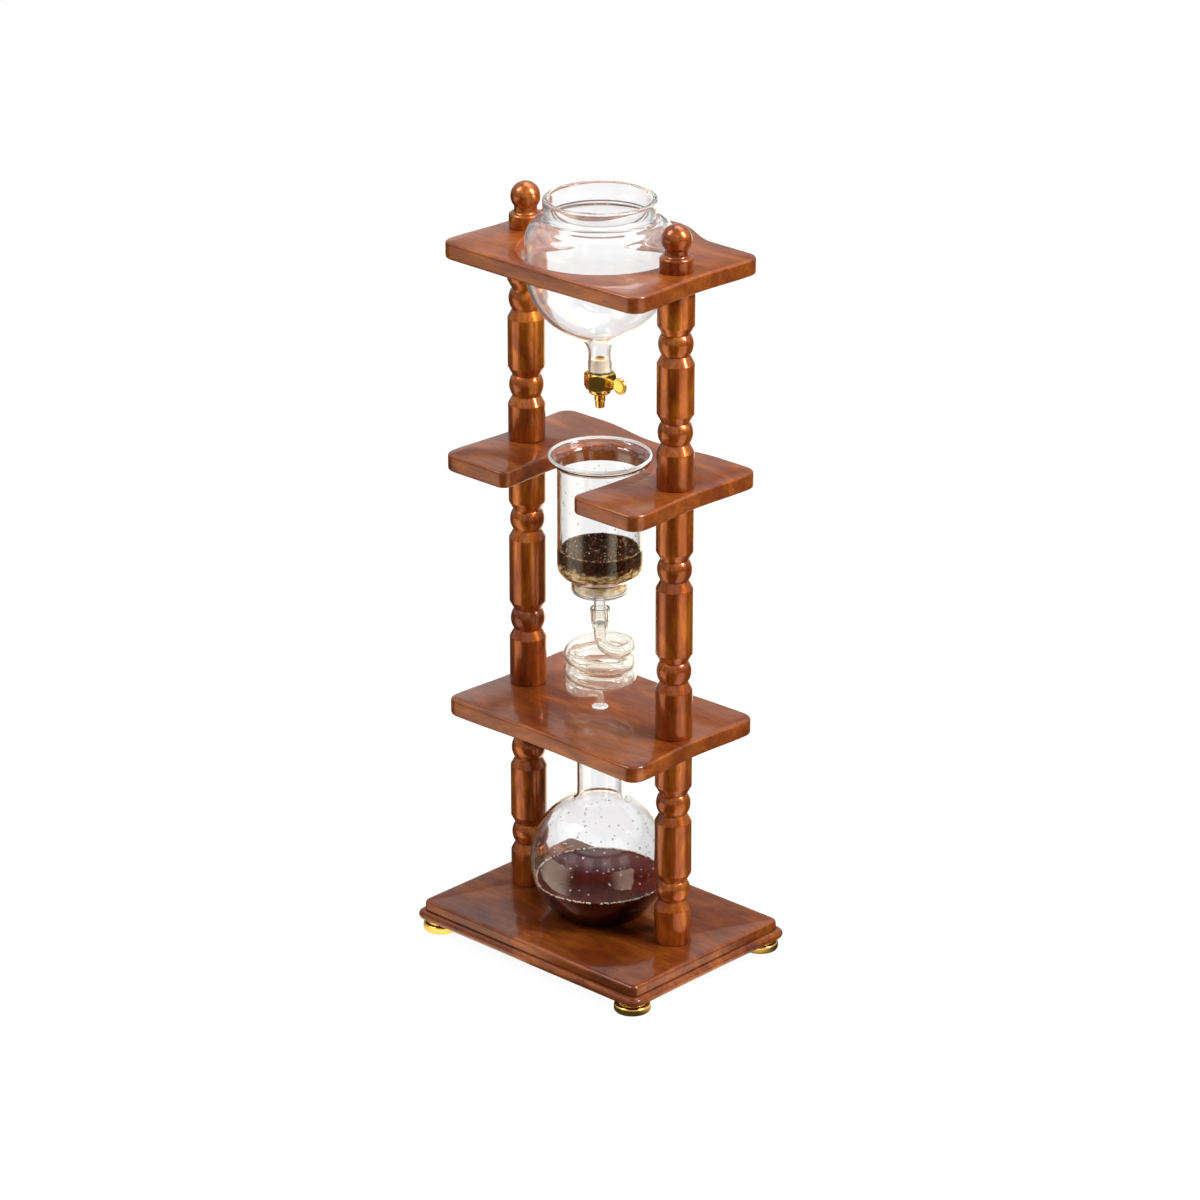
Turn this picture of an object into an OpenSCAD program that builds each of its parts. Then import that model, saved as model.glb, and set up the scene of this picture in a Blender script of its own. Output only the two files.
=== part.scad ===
// Cold drip coffee tower: a two-column wooden stand that carries a water
// globe with a brass drip tap, a brewing chamber, a glass coil and a flask.
// Millimetres, +Z up. The origin is on the floor, midway between the columns.
// X runs along the two columns; the chamber is drawn out towards -Y.

/* [Stand] */
// Distance between the axes of the two columns
column_spacing = 172; // [166:1:180]
// Diameter of the turned columns
column_d = 32; // [28:0.5:34]
// Diameter at the bottom of the turned grooves
groove_d = 24; // [22:0.2:26]
// Diameter of the turned beads
bead_d = 30; // [27:0.5:32]
// Length of a spindle from the base board to the lower shelf
lower_spindle_l = 178; // [174:1:200]
// Length of a spindle from the lower to the middle shelf
middle_spindle_l = 211; // [206:1:240]
// Length of a spindle from the middle to the top shelf
upper_spindle_l = 174; // [168:1:200]
// Diameter of the ball on top of each column
finial_ball_d = 25.6; // [20:0.2:28]
// Diameter of the round collar under each ball
finial_collar_d = 28.6; // [24:0.2:32]
// Height of the round collar under each ball
finial_collar_h = 13; // [10:0.5:20]

/* [Boards] */
// Length of the three shelves, along the columns
shelf_l = 224; // [214:1:240]
// Depth of the three shelves
shelf_w = 154; // [146:1:160]
// Thickness of the three shelves
shelf_t = 15; // [13:0.5:18]
// Corner radius of the shelves
shelf_corner_r = 12.5; // [8:0.5:20]
// Length of the base board at its lower lip
base_l = 264; // [256:1:280]
// Depth of the base board at its lower lip
base_w = 196; // [190:1:210]
// Thickness of the base board
base_t = 18; // [16:0.5:22]
// Step from the lower lip in to the upper tier of the base board
base_step = 4.8; // [3:0.2:7]
// Diameter of the hole that the globe hangs in, at the top face
globe_hole_d = 138; // [134:1:144]
// Depth of the ledge left at the bottom of the globe's hole
ledge_t = 5.5; // [4:0.5:8]
// Reach of the top shelf's rear lobe behind its straight edge
lobe_reach = 20.6; // [15:0.2:32]
// Width of the rear lobe where it leaves the straight edge
lobe_w = 120; // [90:1:140]
// Width of the slot that the chamber stands in
slot_w = 82; // [78:1:86]
// Width of that slot where it opens in the front edge
slot_mouth_w = 76.4; // [75:0.2:80]
// Diameter of the drip hole in the lower shelf
drip_hole_d = 12; // [9:0.5:14]

/* [Fasteners] */
// Diameter of the studs and bolts that join the spindles
stud_d = 6; // [5:0.5:6]
// Depth that each stud reaches into a spindle
stud_reach = 18; // [14:1:22]
// Outer diameter of the brass threaded inserts
insert_d = 9; // [8:0.5:10]
// Length of the brass threaded inserts
insert_l = 13; // [10:1:14]
// Diameter of the washers under the base bolts
washer_d = 14; // [12:1:15]
// Thickness of the washers
washer_t = 1.2; // [1:0.1:1.6]
// Diameter of the base bolts' heads
bolt_head_d = 11; // [9.5:0.5:12]
// Height of the base bolts' heads
bolt_head_h = 4; // [3:0.5:5]

/* [Feet] */
// Diameter of the turned brass feet
foot_d = 31.6; // [26:0.2:34]
// Height from the floor to the base board
foot_h = 10; // [8:0.5:14]
// Distance from the base board's ends to the foot centres
foot_inset_l = 17; // [16:0.5:30]
// Distance from the base board's long sides to the foot centres
foot_inset_w = 16; // [15:0.5:22]
// Thickness of the rubber pad under a foot
foot_pad_t = 2.5; // [2:0.1:4]
// Diameter of the foot screws
foot_screw_d = 4; // [3:0.5:4.5]

/* [Water globe] */
// Outer diameter of the globe
globe_d = 126.4; // [122:0.2:127]
// Depth of the bowl's centre below the top shelf's upper face
globe_centre_drop = 16; // [12:1:20]
// Height of the globe's rim above the top shelf
globe_rim_h = 44; // [40:1:50]
// Outer diameter of the globe's neck
globe_neck_d = 96; // [90:1:100]
// Wall of the globe
globe_wall = 2.6; // [2:0.1:3.2]
// Extra wall of the thick rim
globe_rim_extra = 2.2; // [1:0.1:3]
// Outer diameter of the bead that rests on the shelf's ledge
globe_bead_d = 133; // [131:0.5:134]
// Thickness of the bead
globe_bead_t = 3.5; // [2.5:0.1:5]
// Outer diameter of the stem under the globe
globe_stem_d = 20.6; // [19:0.2:23]
// Height of the straight stem
globe_stem_l = 17; // [14:0.5:20]
// Height of the flare between stem and bowl
globe_flare_h = 16.5; // [14:0.5:18]
// Running clearance between the globe and the ledge
globe_clear = 1; // [0.6:0.1:1.5]

/* [Drip tap] */
// Length of the silicone sleeve inside the stem
sleeve_l = 12; // [9:0.5:14]
// Width across the flats of the hexagonal tap body
hex_af = 24; // [22:0.5:26]
// Height of the hexagonal tap body
hex_h = 15; // [13:0.5:18]
// Diameter of the round shoulder under the hexagon
tap_shoulder_d = 19.4; // [16:0.2:21]
// Height of the round shoulder
tap_shoulder_h = 4.6; // [3:0.2:6]
// Outer diameter of the nozzle
nozzle_d = 9.6; // [8:0.2:11]
// Length of the nozzle below the shoulder
nozzle_l = 12.4; // [9:0.2:15]
// Bore for the water through the tap
tap_bore_d = 3.2; // [2.4:0.1:3.6]
// Diameter of the hose tail that the sleeve grips
tail_d = 8; // [7:0.2:9]
// Diameter of the key's spindle
key_d = 4.4; // [4.2:0.2:5.4]
// Running clearance round the key's spindle, on the radius
key_clear = 0.05; // [0.03:0.01:0.09]
// Diameter of the thumb paddle
paddle_d = 14.4; // [12:0.2:15]
// Thickness of the thumb paddle
paddle_t = 2.8; // [2:0.1:4]
// Distance from the tap's axis to the middle of the paddle
paddle_x = 22.5; // [21.5:0.5:25]

/* [Brew chamber] */
// Outer diameter of the chamber
chamber_d = 73.4; // [70:0.2:75]
// Outer diameter of the chamber's flared rim
chamber_rim_d = 88.4; // [87:0.2:92]
// Height of the rim above the middle shelf
chamber_rim_h = 7; // [6:0.5:10]
// Length of the chamber from the shelf down to the shoulder's start
chamber_body_l = 91; // [80:1:100]
// Height of the rounded shoulder
chamber_shoulder_h = 14; // [12:0.5:18]
// Outer diameter of the narrow step that holds the filter
chamber_step_d = 49.6; // [44:0.2:54]
// Height of the narrow step
chamber_step_h = 14; // [13:0.5:18]
// Wall of the chamber
chamber_wall = 2.4; // [1.8:0.1:3]
// Outer diameter of the chamber's stem
chamber_stem_d = 11.2; // [10:0.2:12]
// Length of the chamber's stem
chamber_stem_l = 24; // [20:1:28]
// Depth of the ground coffee above the filter
bed_h = 30; // [20:1:40]
// Thickness of the filter plate
plate_t = 3; // [2:0.5:4]
// Thickness of the filter pad
pad_t = 6; // [4:0.5:7]

/* [Glass coil] */
// Outer diameter of the coil's tube
coil_tube_d = 11.4; // [9:0.2:12]
// Radius of the coil, to the middle of the tube
coil_r = 25.7; // [24:0.1:30]
// Drop of the coil for each turn
coil_pitch = 14.6; // [13.4:0.2:15]
// Turns of the coil
coil_turns = 2.61; // [2.2:0.01:2.8]
// Height of the bottom turn's end above the lower shelf
coil_end_h = 21; // [19:0.5:24]
// Outer diameter of the coil's inlet socket
socket_d = 17; // [16:0.2:20]
// Length of the socket
socket_l = 20; // [16:0.5:24]
// Depth that the chamber's stem enters the socket
stem_entry = 10; // [8:0.5:15]
// Clearance between the stem and the socket's bore, on the radius
socket_clear = 0.7; // [0.4:0.1:1.2]
// Outer diameter of the outlet tube and its flange
outlet_d = 7.4; // [6:0.2:8]
flange_d = 14; // [13:0.2:18]

/* [Flask] */
// Outer diameter of the flask's bulb
flask_d = 122.4; // [110:0.2:124]
// Height of the bulb's centre above the base board
flask_centre_h = 50; // [46:1:54]
// Outer diameter of the flask's neck
flask_neck_d = 40; // [36:0.5:46]
// Overall height of the flask
flask_h = 160; // [150:1:168]
// Wall of the flask
flask_wall = 2; // [1.6:0.1:2.6]
// Depth of the brewed coffee above the base board
coffee_level = 33; // [15:1:45]

/* [Hidden] */

WOOD = "sienna";
BRASS = "goldenrod";
STEEL = "silver";
GLASS = [0.85, 0.9, 0.92, 0.45];
CREAM = "wheat";
COFFEE = [0.16, 0.05, 0.03];

round_fn = 96;
small_fn = 48;
fit_gap = 0.1;      // radial gap of glued, gripped and threaded parts
seat_gap = 0.3;     // gap of loose fills inside glass
cut = 1;            // how far a cut runs past the face it opens

// levels of the faces that pieces stand on
base_bottom = foot_h;
base_top = base_bottom + base_t;
lower_bottom = base_top + lower_spindle_l;
lower_top = lower_bottom + shelf_t;
middle_bottom = lower_top + middle_spindle_l;
middle_top = middle_bottom + shelf_t;
top_bottom = middle_top + upper_spindle_l;
top_top = top_bottom + shelf_t;
SIDES = [-1, 1];

// ---- shared shapes -------------------------------------------------------

// points of an arc, centre c, radii rx and ry, from angle a0 to a1
function arc(c, rx, ry, a0, a1, n) =
    [for (i = [0:n]) let (a = a0 + (a1 - a0) * i / n)
        [c[0] + rx * cos(a), c[1] + ry * sin(a)]];

// points of a quadratic curve from p to q with control point c
function curve(p, c, q, n) =
    [for (i = [0:n]) let (t = i / n)
        (1 - t) * (1 - t) * p + 2 * t * (1 - t) * c + t * t * q];

// one edge from p to q, drawn in by dip at its middle; n is its inward side
function wavy_edge(p, q, n, dip, steps) =
    [for (i = [1:steps - 1]) let (t = i / steps)
        p + (q - p) * t + n * dip * pow(sin(180 * t), 2)];

// a rectangle with round corners whose edges draw in by dip_x and dip_y
function board_outline(l, w, r, dip_x = 0, dip_y = 0, steps = 14) = let (
    x = l / 2 - r, y = w / 2 - r, h = l / 2, k = w / 2)
    concat(arc([x, y], r, r, 0, 90, 6),
        dip_y == 0 ? [] : wavy_edge([x, k], [-x, k], [0, -1], dip_y, steps),
        arc([-x, y], r, r, 90, 180, 6),
        dip_x == 0 ? [] : wavy_edge([-h, y], [-h, -y], [1, 0], dip_x, steps),
        arc([-x, -y], r, r, 180, 270, 6),
        dip_y == 0 ? [] : wavy_edge([-x, -k], [x, -k], [0, 1], dip_y, steps),
        arc([x, -y], r, r, 270, 360, 6),
        dip_x == 0 ? [] : wavy_edge([h, -y], [h, y], [-1, 0], dip_x, steps));

module at_columns() {
    for (s = SIDES) translate([s * column_spacing / 2, 0, 0]) children();
}

module at_feet() {
    for (sx = SIDES, sy = SIDES)
        translate([sx * (base_l / 2 - foot_inset_l),
            sy * (base_w / 2 - foot_inset_w), 0]) children();
}

// a straight tube, bore and all
module tube(d, bore, h) {
    difference() {
        cylinder(d = d, h = h, $fn = small_fn);
        translate([0, 0, -cut])
            cylinder(d = bore, h = h + 2 * cut, $fn = small_fn);
    }
}

// the hole that takes an insert and a stud's end, cut upwards from z = 0
module stud_socket() {
    translate([0, 0, -cut])
        cylinder(d = insert_d + 2 * fit_gap, h = insert_l + cut,
            $fn = small_fn);
    translate([0, 0, -cut])
        cylinder(d = stud_d + 2 * fit_gap, h = stud_reach + 2 + cut,
            $fn = small_fn);
}

module shelf_blank(dip_x, dip_y) {
    linear_extrude(shelf_t)
        polygon(board_outline(shelf_l, shelf_w, shelf_corner_r,
            dip_x, dip_y));
}

module stud_holes(h) {
    at_columns() translate([0, 0, -cut])
        cylinder(d = stud_d + 2 * fit_gap, h = h + 2 * cut, $fn = small_fn);
}

// ---- stand ---------------------------------------------------------------

shoulder_h = 8;     // sloped shoulder at each end of a plain length
shoulder_r = 2.5;   // rounding between a plain length and its shoulder
shoulder_turn = 28; // slope of the shoulder, in degrees from the axis
bead_h = 18.5;      // height of a turned bead
arris = 1;          // small rounding at a spindle's end faces
spindle_end = [31, 42, 31]; // plain end lengths: lower, middle, upper

// half of a spindle's outline, from its end face to its middle
function spindle_half(l, end) = let (
    r = column_d / 2, g = groove_d / 2, b = bead_d / 2, s = shoulder_r,
    z1 = end + shoulder_h, z2 = z1 + bead_h, z3 = z2 + shoulder_h,
    // the bead is an arc through both grooves: its radius and half its turn
    round_r = (pow(b - g, 2) + pow(bead_h / 2, 2)) / (b - g) / 2,
    half_turn = asin(bead_h / 2 / round_r))
    concat([[r - arris, 0], [r, arris]],
        arc([r - s, end], s, s, 0, shoulder_turn, 4),
        arc([b - round_r, (z1 + z2) / 2], round_r, round_r,
            -half_turn, half_turn, 12),
        arc([r - s, z3], s, s, -shoulder_turn, 0, 4));

module spindle(l, end) {
    half = spindle_half(l, end);
    n = len(half);
    color(WOOD) difference() {
        rotate_extrude($fn = round_fn)
            polygon(concat([[0, 0]], half,
                [for (i = [n - 1:-1:0]) [half[i][0], l - half[i][1]]],
                [[0, l]]));
        stud_socket();
        translate([0, 0, l]) mirror([0, 0, 1]) stud_socket();
    }
}

module spindle_at(side, bottom, l, end) {
    translate([side * column_spacing / 2, 0, bottom]) spindle(l, end);
}

// rows of the base board's moulded edge: bottom, top, step in
EDGE = [[0, 1.4, 1.5], [1.4, 7.2, 0], [7.2, 8.6, 1.5],
    [8.6, 9.4, base_step + 0.8], [9.4, base_t - 1.2, base_step],
    [base_t - 1.2, base_t, base_step + 1]];
counterbore_d = washer_d + 1;
counterbore_h = washer_t + bolt_head_h + 1.5;
base_corner_r = 9;

module base_board() {
    color(WOOD) translate([0, 0, base_bottom]) difference() {
        union() for (row = EDGE)
            translate([0, 0, row[0]]) linear_extrude(row[1] - row[0])
                polygon(board_outline(base_l - 2 * row[2],
                    base_w - 2 * row[2], base_corner_r - row[2] * 0.6));
        stud_holes(base_t);
        at_columns() translate([0, 0, -cut])
            cylinder(d = counterbore_d, h = counterbore_h + cut,
                $fn = small_fn);
        at_feet() translate([0, 0, -cut])
            cylinder(d = foot_screw_d + 2 * fit_gap,
                h = foot_screw_bite + cut, $fn = small_fn);
    }
}

shelf_dip_x = 3;
shelf_dip_y = 2.5;
middle_back_dip = 9;

module lower_shelf() {
    color(WOOD) translate([0, 0, lower_bottom]) difference() {
        shelf_blank(shelf_dip_x, shelf_dip_y);
        stud_holes(shelf_t);
        translate([0, 0, -cut])
            cylinder(d = drip_hole_d, h = shelf_t + 2 * cut,
                $fn = round_fn);
    }
}

lobe_tip_r = 9;     // rounding where the slot meets the front edge
slot_lean = 5;      // slope of the slot's side there, in degrees

// one side of the slot, from the middle of its round end to the front edge
function slot_side(side) = let (w = slot_w / 2, r = lobe_tip_r,
    tip = arc([slot_mouth_w / 2 + r, r - shelf_w / 2], r, r,
        180 - slot_lean, 270, 8),
    bend_y = tip[0][1] + (w - tip[0][0]) / tan(slot_lean))
    [for (p = concat(curve([w, 0], [w, bend_y], tip[0], 12),
            [for (i = [1:8]) tip[i]], [[tip[8][0], -shelf_w / 2 - cut]]))
        [side * p[0], p[1]]];

module middle_shelf() {
    color(WOOD) translate([0, 0, middle_bottom]) difference() {
        linear_extrude(shelf_t) difference() {
            polygon(board_outline(shelf_l, shelf_w, shelf_corner_r,
                shelf_dip_x, 0));
            polygon(concat([[shelf_l * 0.3, shelf_w / 2 + cut],
                    [shelf_l * 0.3, shelf_w / 2]],
                wavy_edge([shelf_l * 0.3, shelf_w / 2],
                    [-shelf_l * 0.3, shelf_w / 2], [0, -1],
                    middle_back_dip, 20),
                [[-shelf_l * 0.3, shelf_w / 2],
                    [-shelf_l * 0.3, shelf_w / 2 + cut]]));
        }
        stud_holes(shelf_t);
        translate([0, 0, -cut])
            cylinder(d = slot_w, h = shelf_t + 2 * cut, $fn = round_fn);
        translate([0, 0, -cut]) linear_extrude(shelf_t + 2 * cut)
            polygon(concat(slot_side(-1), reversed(slot_side(1))));
    }
}

ledge_hole_d = globe_d + 2 * globe_clear;

module top_shelf() {
    color(WOOD) translate([0, 0, top_bottom]) difference() {
        union() {
            shelf_blank(shelf_dip_x, -1.5);
            linear_extrude(shelf_t) polygon(concat(
                [[-lobe_w / 2, 0], [lobe_w / 2, 0]],
                [[lobe_w / 2, shelf_w / 2 - 0.5]],
                wavy_edge([lobe_w / 2, shelf_w / 2],
                    [-lobe_w / 2, shelf_w / 2], [0, 1], lobe_reach, 24),
                [[-lobe_w / 2, shelf_w / 2 - 0.5]]));
        }
        stud_holes(shelf_t);
        translate([0, 0, ledge_t])
            cylinder(d = globe_hole_d, h = shelf_t, $fn = round_fn);
        translate([0, 0, -cut])
            cylinder(d = ledge_hole_d, h = shelf_t, $fn = round_fn);
    }
}

ball_centre_h = finial_collar_h + 14;
finial_neck_d = 19.6;

module finial(side) {
    ball_r = finial_ball_d / 2;
    neck_r = finial_neck_d / 2;
    collar_r = finial_collar_d / 2;
    // the ball starts where its outline is as wide as the neck
    start = -acos(neck_r / ball_r);
    color(WOOD) translate([side * column_spacing / 2, 0, top_top])
        difference() {
            rotate_extrude($fn = round_fn) polygon(concat(
                [[0, 0], [collar_r - arris, 0], [collar_r, arris]],
                arc([neck_r + 1, finial_collar_h - 3],
                    collar_r - neck_r - 1, 3, 0, 90, 5),
                [[neck_r, finial_collar_h + 1.5]],
                arc([0, ball_centre_h], ball_r, ball_r, start, 90, 20)));
            stud_socket();
        }
}

module spindle_studs() {
    color(STEEL) at_columns()
        for (z = [lower_bottom, middle_bottom, top_bottom])
            translate([0, 0, z - stud_reach])
                cylinder(d = stud_d, h = shelf_t + 2 * stud_reach,
                    $fn = small_fn);
}

module thread_inserts() {
    foots = [base_top, lower_top, middle_top, top_top];
    heads = [lower_bottom, middle_bottom, top_bottom];
    color(BRASS) at_columns() {
        for (z = foots) translate([0, 0, z])
            tube(insert_d, stud_d + 2 * fit_gap, insert_l);
        for (z = heads) translate([0, 0, z - insert_l])
            tube(insert_d, stud_d + 2 * fit_gap, insert_l);
    }
}

washer_z = base_bottom + counterbore_h - washer_t;

module base_bolts() {
    color(STEEL) at_columns() {
        translate([0, 0, washer_z - bolt_head_h])
            cylinder(d = bolt_head_d, h = bolt_head_h, $fn = small_fn);
        translate([0, 0, washer_z])
            cylinder(d = stud_d, h = base_top + stud_reach - washer_z,
                $fn = small_fn);
    }
}

module base_washers() {
    color(STEEL) at_columns() translate([0, 0, washer_z])
        tube(washer_d, stud_d + 2 * fit_gap, washer_t);
}

foot_recess_h = foot_pad_t - 0.5;   // the pad stands half a millimetre proud
foot_pad_d = foot_d - 7;
foot_screw_bite = 11;
foot_screw_head_d = 2 * foot_screw_d;
foot_head_h = 3;
foot_floor = foot_pad_t + foot_head_h;

module feet() {
    color(BRASS) at_feet() difference() {
        rotate_extrude($fn = round_fn) polygon(concat(
            [[0, foot_pad_t - foot_recess_h]],
            arc([foot_d / 2 - 1.5, foot_pad_t - foot_recess_h + 1.5],
                1.5, 1.5, -90, 0, 5),
            arc([foot_d / 2 - 2.5, foot_h - 2.5], 2.5, 2.5, 0, 90, 6),
            [[0, foot_h]]));
        translate([0, 0, -cut])
            cylinder(d = foot_pad_d + 2 * fit_gap, h = foot_pad_t + cut,
                $fn = small_fn);
        translate([0, 0, -cut])
            cylinder(d = foot_screw_head_d + 2 * fit_gap,
                h = foot_floor + cut, $fn = small_fn);
        cylinder(d = foot_screw_d + 2 * fit_gap, h = foot_h + cut,
            $fn = small_fn);
    }
}

module foot_screws() {
    color(STEEL) at_feet() {
        translate([0, 0, foot_pad_t])
            cylinder(d = foot_screw_head_d, h = foot_head_h,
                $fn = small_fn);
        translate([0, 0, foot_floor])
            cylinder(d = foot_screw_d,
                h = foot_h - foot_floor + foot_screw_bite - 0.5,
                $fn = small_fn);
    }
}

module foot_pads() {
    color("dimgray") at_feet()
        cylinder(d = foot_pad_d, h = foot_pad_t, $fn = small_fn);
}

// ---- water globe and drip tap --------------------------------------------

globe_z = top_top - globe_centre_drop;
globe_rim_z = top_top + globe_rim_h;
globe_cyl_z = globe_z + 23;     // top of the straight middle
globe_ring_z = globe_rim_z - 18;    // foot of the neck
flare_r = 24;                   // where the bowl turns into the flare
flare_z = globe_z - sqrt(pow(globe_d / 2, 2) - flare_r * flare_r);
stem_top_z = flare_z - globe_flare_h;
stem_end_z = stem_top_z - globe_stem_l;

// the globe's outline from the stem up to the rim, drawn in by i
function globe_side(i, rim) = let (
    r = globe_d / 2, n = globe_neck_d / 2, s = globe_stem_d / 2)
    concat(
        curve([s - i, stem_top_z], [s + 1.4 - i, flare_z - 5 + i],
            [flare_r - i * 0.4, flare_z + i * 0.9], 8),
        [for (k = [1:20]) let (a0 = acos(flare_r / r),
            a = -a0 + a0 * k / 20) [(r - i) * cos(a),
            globe_z + (r - i) * sin(a)]],
        curve([r - i, globe_cyl_z - i * 0.4],
            [r - i, globe_ring_z - 3 - i], [n - i, globe_ring_z], 10),
        [[n - i - rim, globe_ring_z + 2 + rim],
            [n - i - rim, globe_rim_z]]);

function reversed(p) = [for (i = [len(p) - 1:-1:0]) p[i]];

module water_globe() {
    s = globe_stem_d / 2;
    outer = globe_side(0, 0);
    inner = globe_side(globe_wall, globe_rim_extra);
    bead_z = top_bottom + ledge_t;
    color(GLASS) union() {
        rotate_extrude($fn = round_fn) polygon(concat(
            [[s - globe_wall, stem_end_z], [s, stem_end_z]], outer,
            reversed(inner)));
        translate([0, 0, bead_z]) difference() {
            cylinder(d = globe_bead_d, h = globe_bead_t, $fn = round_fn);
            translate([0, 0, -cut])
                cylinder(d = globe_d - globe_wall,
                    h = globe_bead_t + 2 * cut, $fn = round_fn);
        }
    }
}

hex_top_z = stem_end_z - 0.5;
hex_bottom_z = hex_top_z - hex_h;
shoulder_z = hex_bottom_z - tap_shoulder_h;
nozzle_end_z = shoulder_z - nozzle_l;
key_z = hex_top_z - hex_h * 0.52;
spigot_d = 11;      // threaded spigots of tail and nozzle in the body
spigot_l = 3.6;
gasket_t = 1.2;
tail_top_z = hex_top_z + sleeve_l + 1;

module stem_sleeve() {
    color(CREAM) translate([0, 0, hex_top_z + gasket_t])
        tube(globe_stem_d - 2 * globe_wall - 2 * fit_gap,
            tail_d + 2 * fit_gap, sleeve_l - gasket_t);
}

module tap_tail() {
    color(BRASS) difference() {
        union() {
            translate([0, 0, hex_top_z])
                cylinder(d = tail_d, h = tail_top_z - hex_top_z,
                    $fn = small_fn);
            translate([0, 0, hex_top_z - spigot_l])
                cylinder(d = spigot_d, h = spigot_l, $fn = small_fn);
        }
        translate([0, 0, hex_top_z - spigot_l - cut])
            cylinder(d = tap_bore_d,
                h = tail_top_z - hex_top_z + spigot_l + 2 * cut,
                $fn = small_fn);
    }
}

module tap_gasket() {
    color("dimgray") translate([0, 0, hex_top_z])
        tube(globe_stem_d - 2 * globe_wall - 2 * fit_gap,
            tail_d + 2 * fit_gap, gasket_t);
}

module hexagon() {
    // hexagonal bar with both ends turned to a chamfer
    c = hex_af / 2 / cos(30);
    intersection() {
        translate([0, 0, hex_bottom_z])
            cylinder(r = c, h = hex_h, $fn = 6);
        rotate_extrude($fn = round_fn) polygon([
            [0, hex_bottom_z], [hex_af / 2 - 0.8, hex_bottom_z],
            [c + 0.2, hex_bottom_z + 2.4], [c + 0.2, hex_top_z - 2.4],
            [hex_af / 2 - 0.8, hex_top_z], [0, hex_top_z]]);
    }
}

key_seat_x = -key_d / 2 - 1.5;      // blind end of the key's bore
gland_x = hex_af / 2 + 1;           // where the key leaves the body

module tap_body() {
    color(BRASS) difference() {
        union() {
            rotate([0, 0, 30]) hexagon();
            translate([0, 0, key_z]) rotate([0, 90, 0])
                cylinder(d = key_d + 3.6, h = gland_x, $fn = small_fn);
        }
        translate([0, 0, hex_bottom_z - cut])
            cylinder(d = tap_bore_d, h = hex_h + 2 * cut, $fn = small_fn);
        translate([0, 0, hex_top_z - spigot_l])
            cylinder(d = spigot_d + 2 * fit_gap, h = spigot_l + cut,
                $fn = small_fn);
        translate([0, 0, hex_bottom_z - cut])
            cylinder(d = spigot_d + 2 * fit_gap, h = spigot_l + cut,
                $fn = small_fn);
        translate([key_seat_x - 0.2, 0, key_z]) rotate([0, 90, 0])
            cylinder(d = key_d + 2 * key_clear, h = hex_af,
                $fn = small_fn);
        translate([o_ring_x, 0, key_z]) rotate([0, 90, 0])
            cylinder(d = o_ring_d + 2 * fit_gap, h = o_ring_t,
                $fn = small_fn);
    }
}

o_ring_t = 1.6;
o_ring_d = key_d + 2.6;
o_ring_x = hex_af / 2 - 4;

module key_o_ring() {
    color("dimgray") translate([o_ring_x, 0, key_z]) rotate([0, 90, 0])
        tube(o_ring_d, key_d + 2 * key_clear, o_ring_t - 0.1);
}

module tap_nozzle() {
    r = nozzle_d / 2;
    s = tap_shoulder_d / 2;
    color(BRASS) difference() {
        rotate_extrude($fn = round_fn) polygon(concat(
            [[0, nozzle_end_z]],
            arc([r - 1.6, nozzle_end_z + 1.6], 1.6, 1.6, -90, 0, 5),
            [[r, shoulder_z]],
            arc([s - 2, shoulder_z + 2], 2, 2, -90, 0, 5),
            [[s, hex_bottom_z], [spigot_d / 2, hex_bottom_z],
                [spigot_d / 2, hex_bottom_z + spigot_l],
                [0, hex_bottom_z + spigot_l]]));
        translate([0, 0, nozzle_end_z - cut])
            cylinder(d = tap_bore_d,
                h = shoulder_z + nozzle_l + tap_shoulder_h + spigot_l
                    - nozzle_end_z, $fn = small_fn);
    }
}

module tap_key() {
    neck_x = gland_x + 0.3;
    paddle_edge = paddle_x - paddle_d / 2 + 0.6;
    color(BRASS) translate([0, 0, key_z]) difference() {
        union() {
            translate([key_seat_x, 0, 0]) rotate([0, 90, 0])
                cylinder(d = key_d, h = neck_x - key_seat_x + 1,
                    $fn = small_fn);
            translate([neck_x, 0, 0]) rotate([0, 90, 0])
                cylinder(d = key_d + 2.4,
                    h = paddle_edge - neck_x + 1, $fn = small_fn);
            translate([paddle_x, paddle_t / 2, 0]) rotate([90, 0, 0])
                cylinder(d = paddle_d, h = paddle_t, $fn = round_fn);
        }
        translate([0, 0, -hex_h / 2])
            cylinder(d = tap_bore_d, h = hex_h, $fn = small_fn);
    }
}

// ---- brew chamber --------------------------------------------------------

chamber_rim_z = middle_top + chamber_rim_h;
chamber_shoulder_z = middle_top - chamber_body_l;
chamber_step_z = chamber_shoulder_z - chamber_shoulder_h;
chamber_floor_z = chamber_step_z - chamber_step_h;
chamber_stem_end_z = chamber_floor_z - chamber_stem_l;
lip_t = chamber_rim_h;

// the chamber's outline from its floor to the flare, drawn in by i
function chamber_side(i) = let (
    r = chamber_d / 2 - i, s = chamber_step_d / 2 - i)
    concat(
        arc([s - 4, chamber_floor_z + i + 4], 4, 4, -90, 0, 5),
        [[s, chamber_step_z - 1]],
        curve([s + 0.6, chamber_step_z + i * 0.3],
            [r, chamber_step_z + 2 + i * 0.6],
            [r, chamber_shoulder_z + i * 0.2], 8),
        [[r, middle_top - 4]]);

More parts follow.
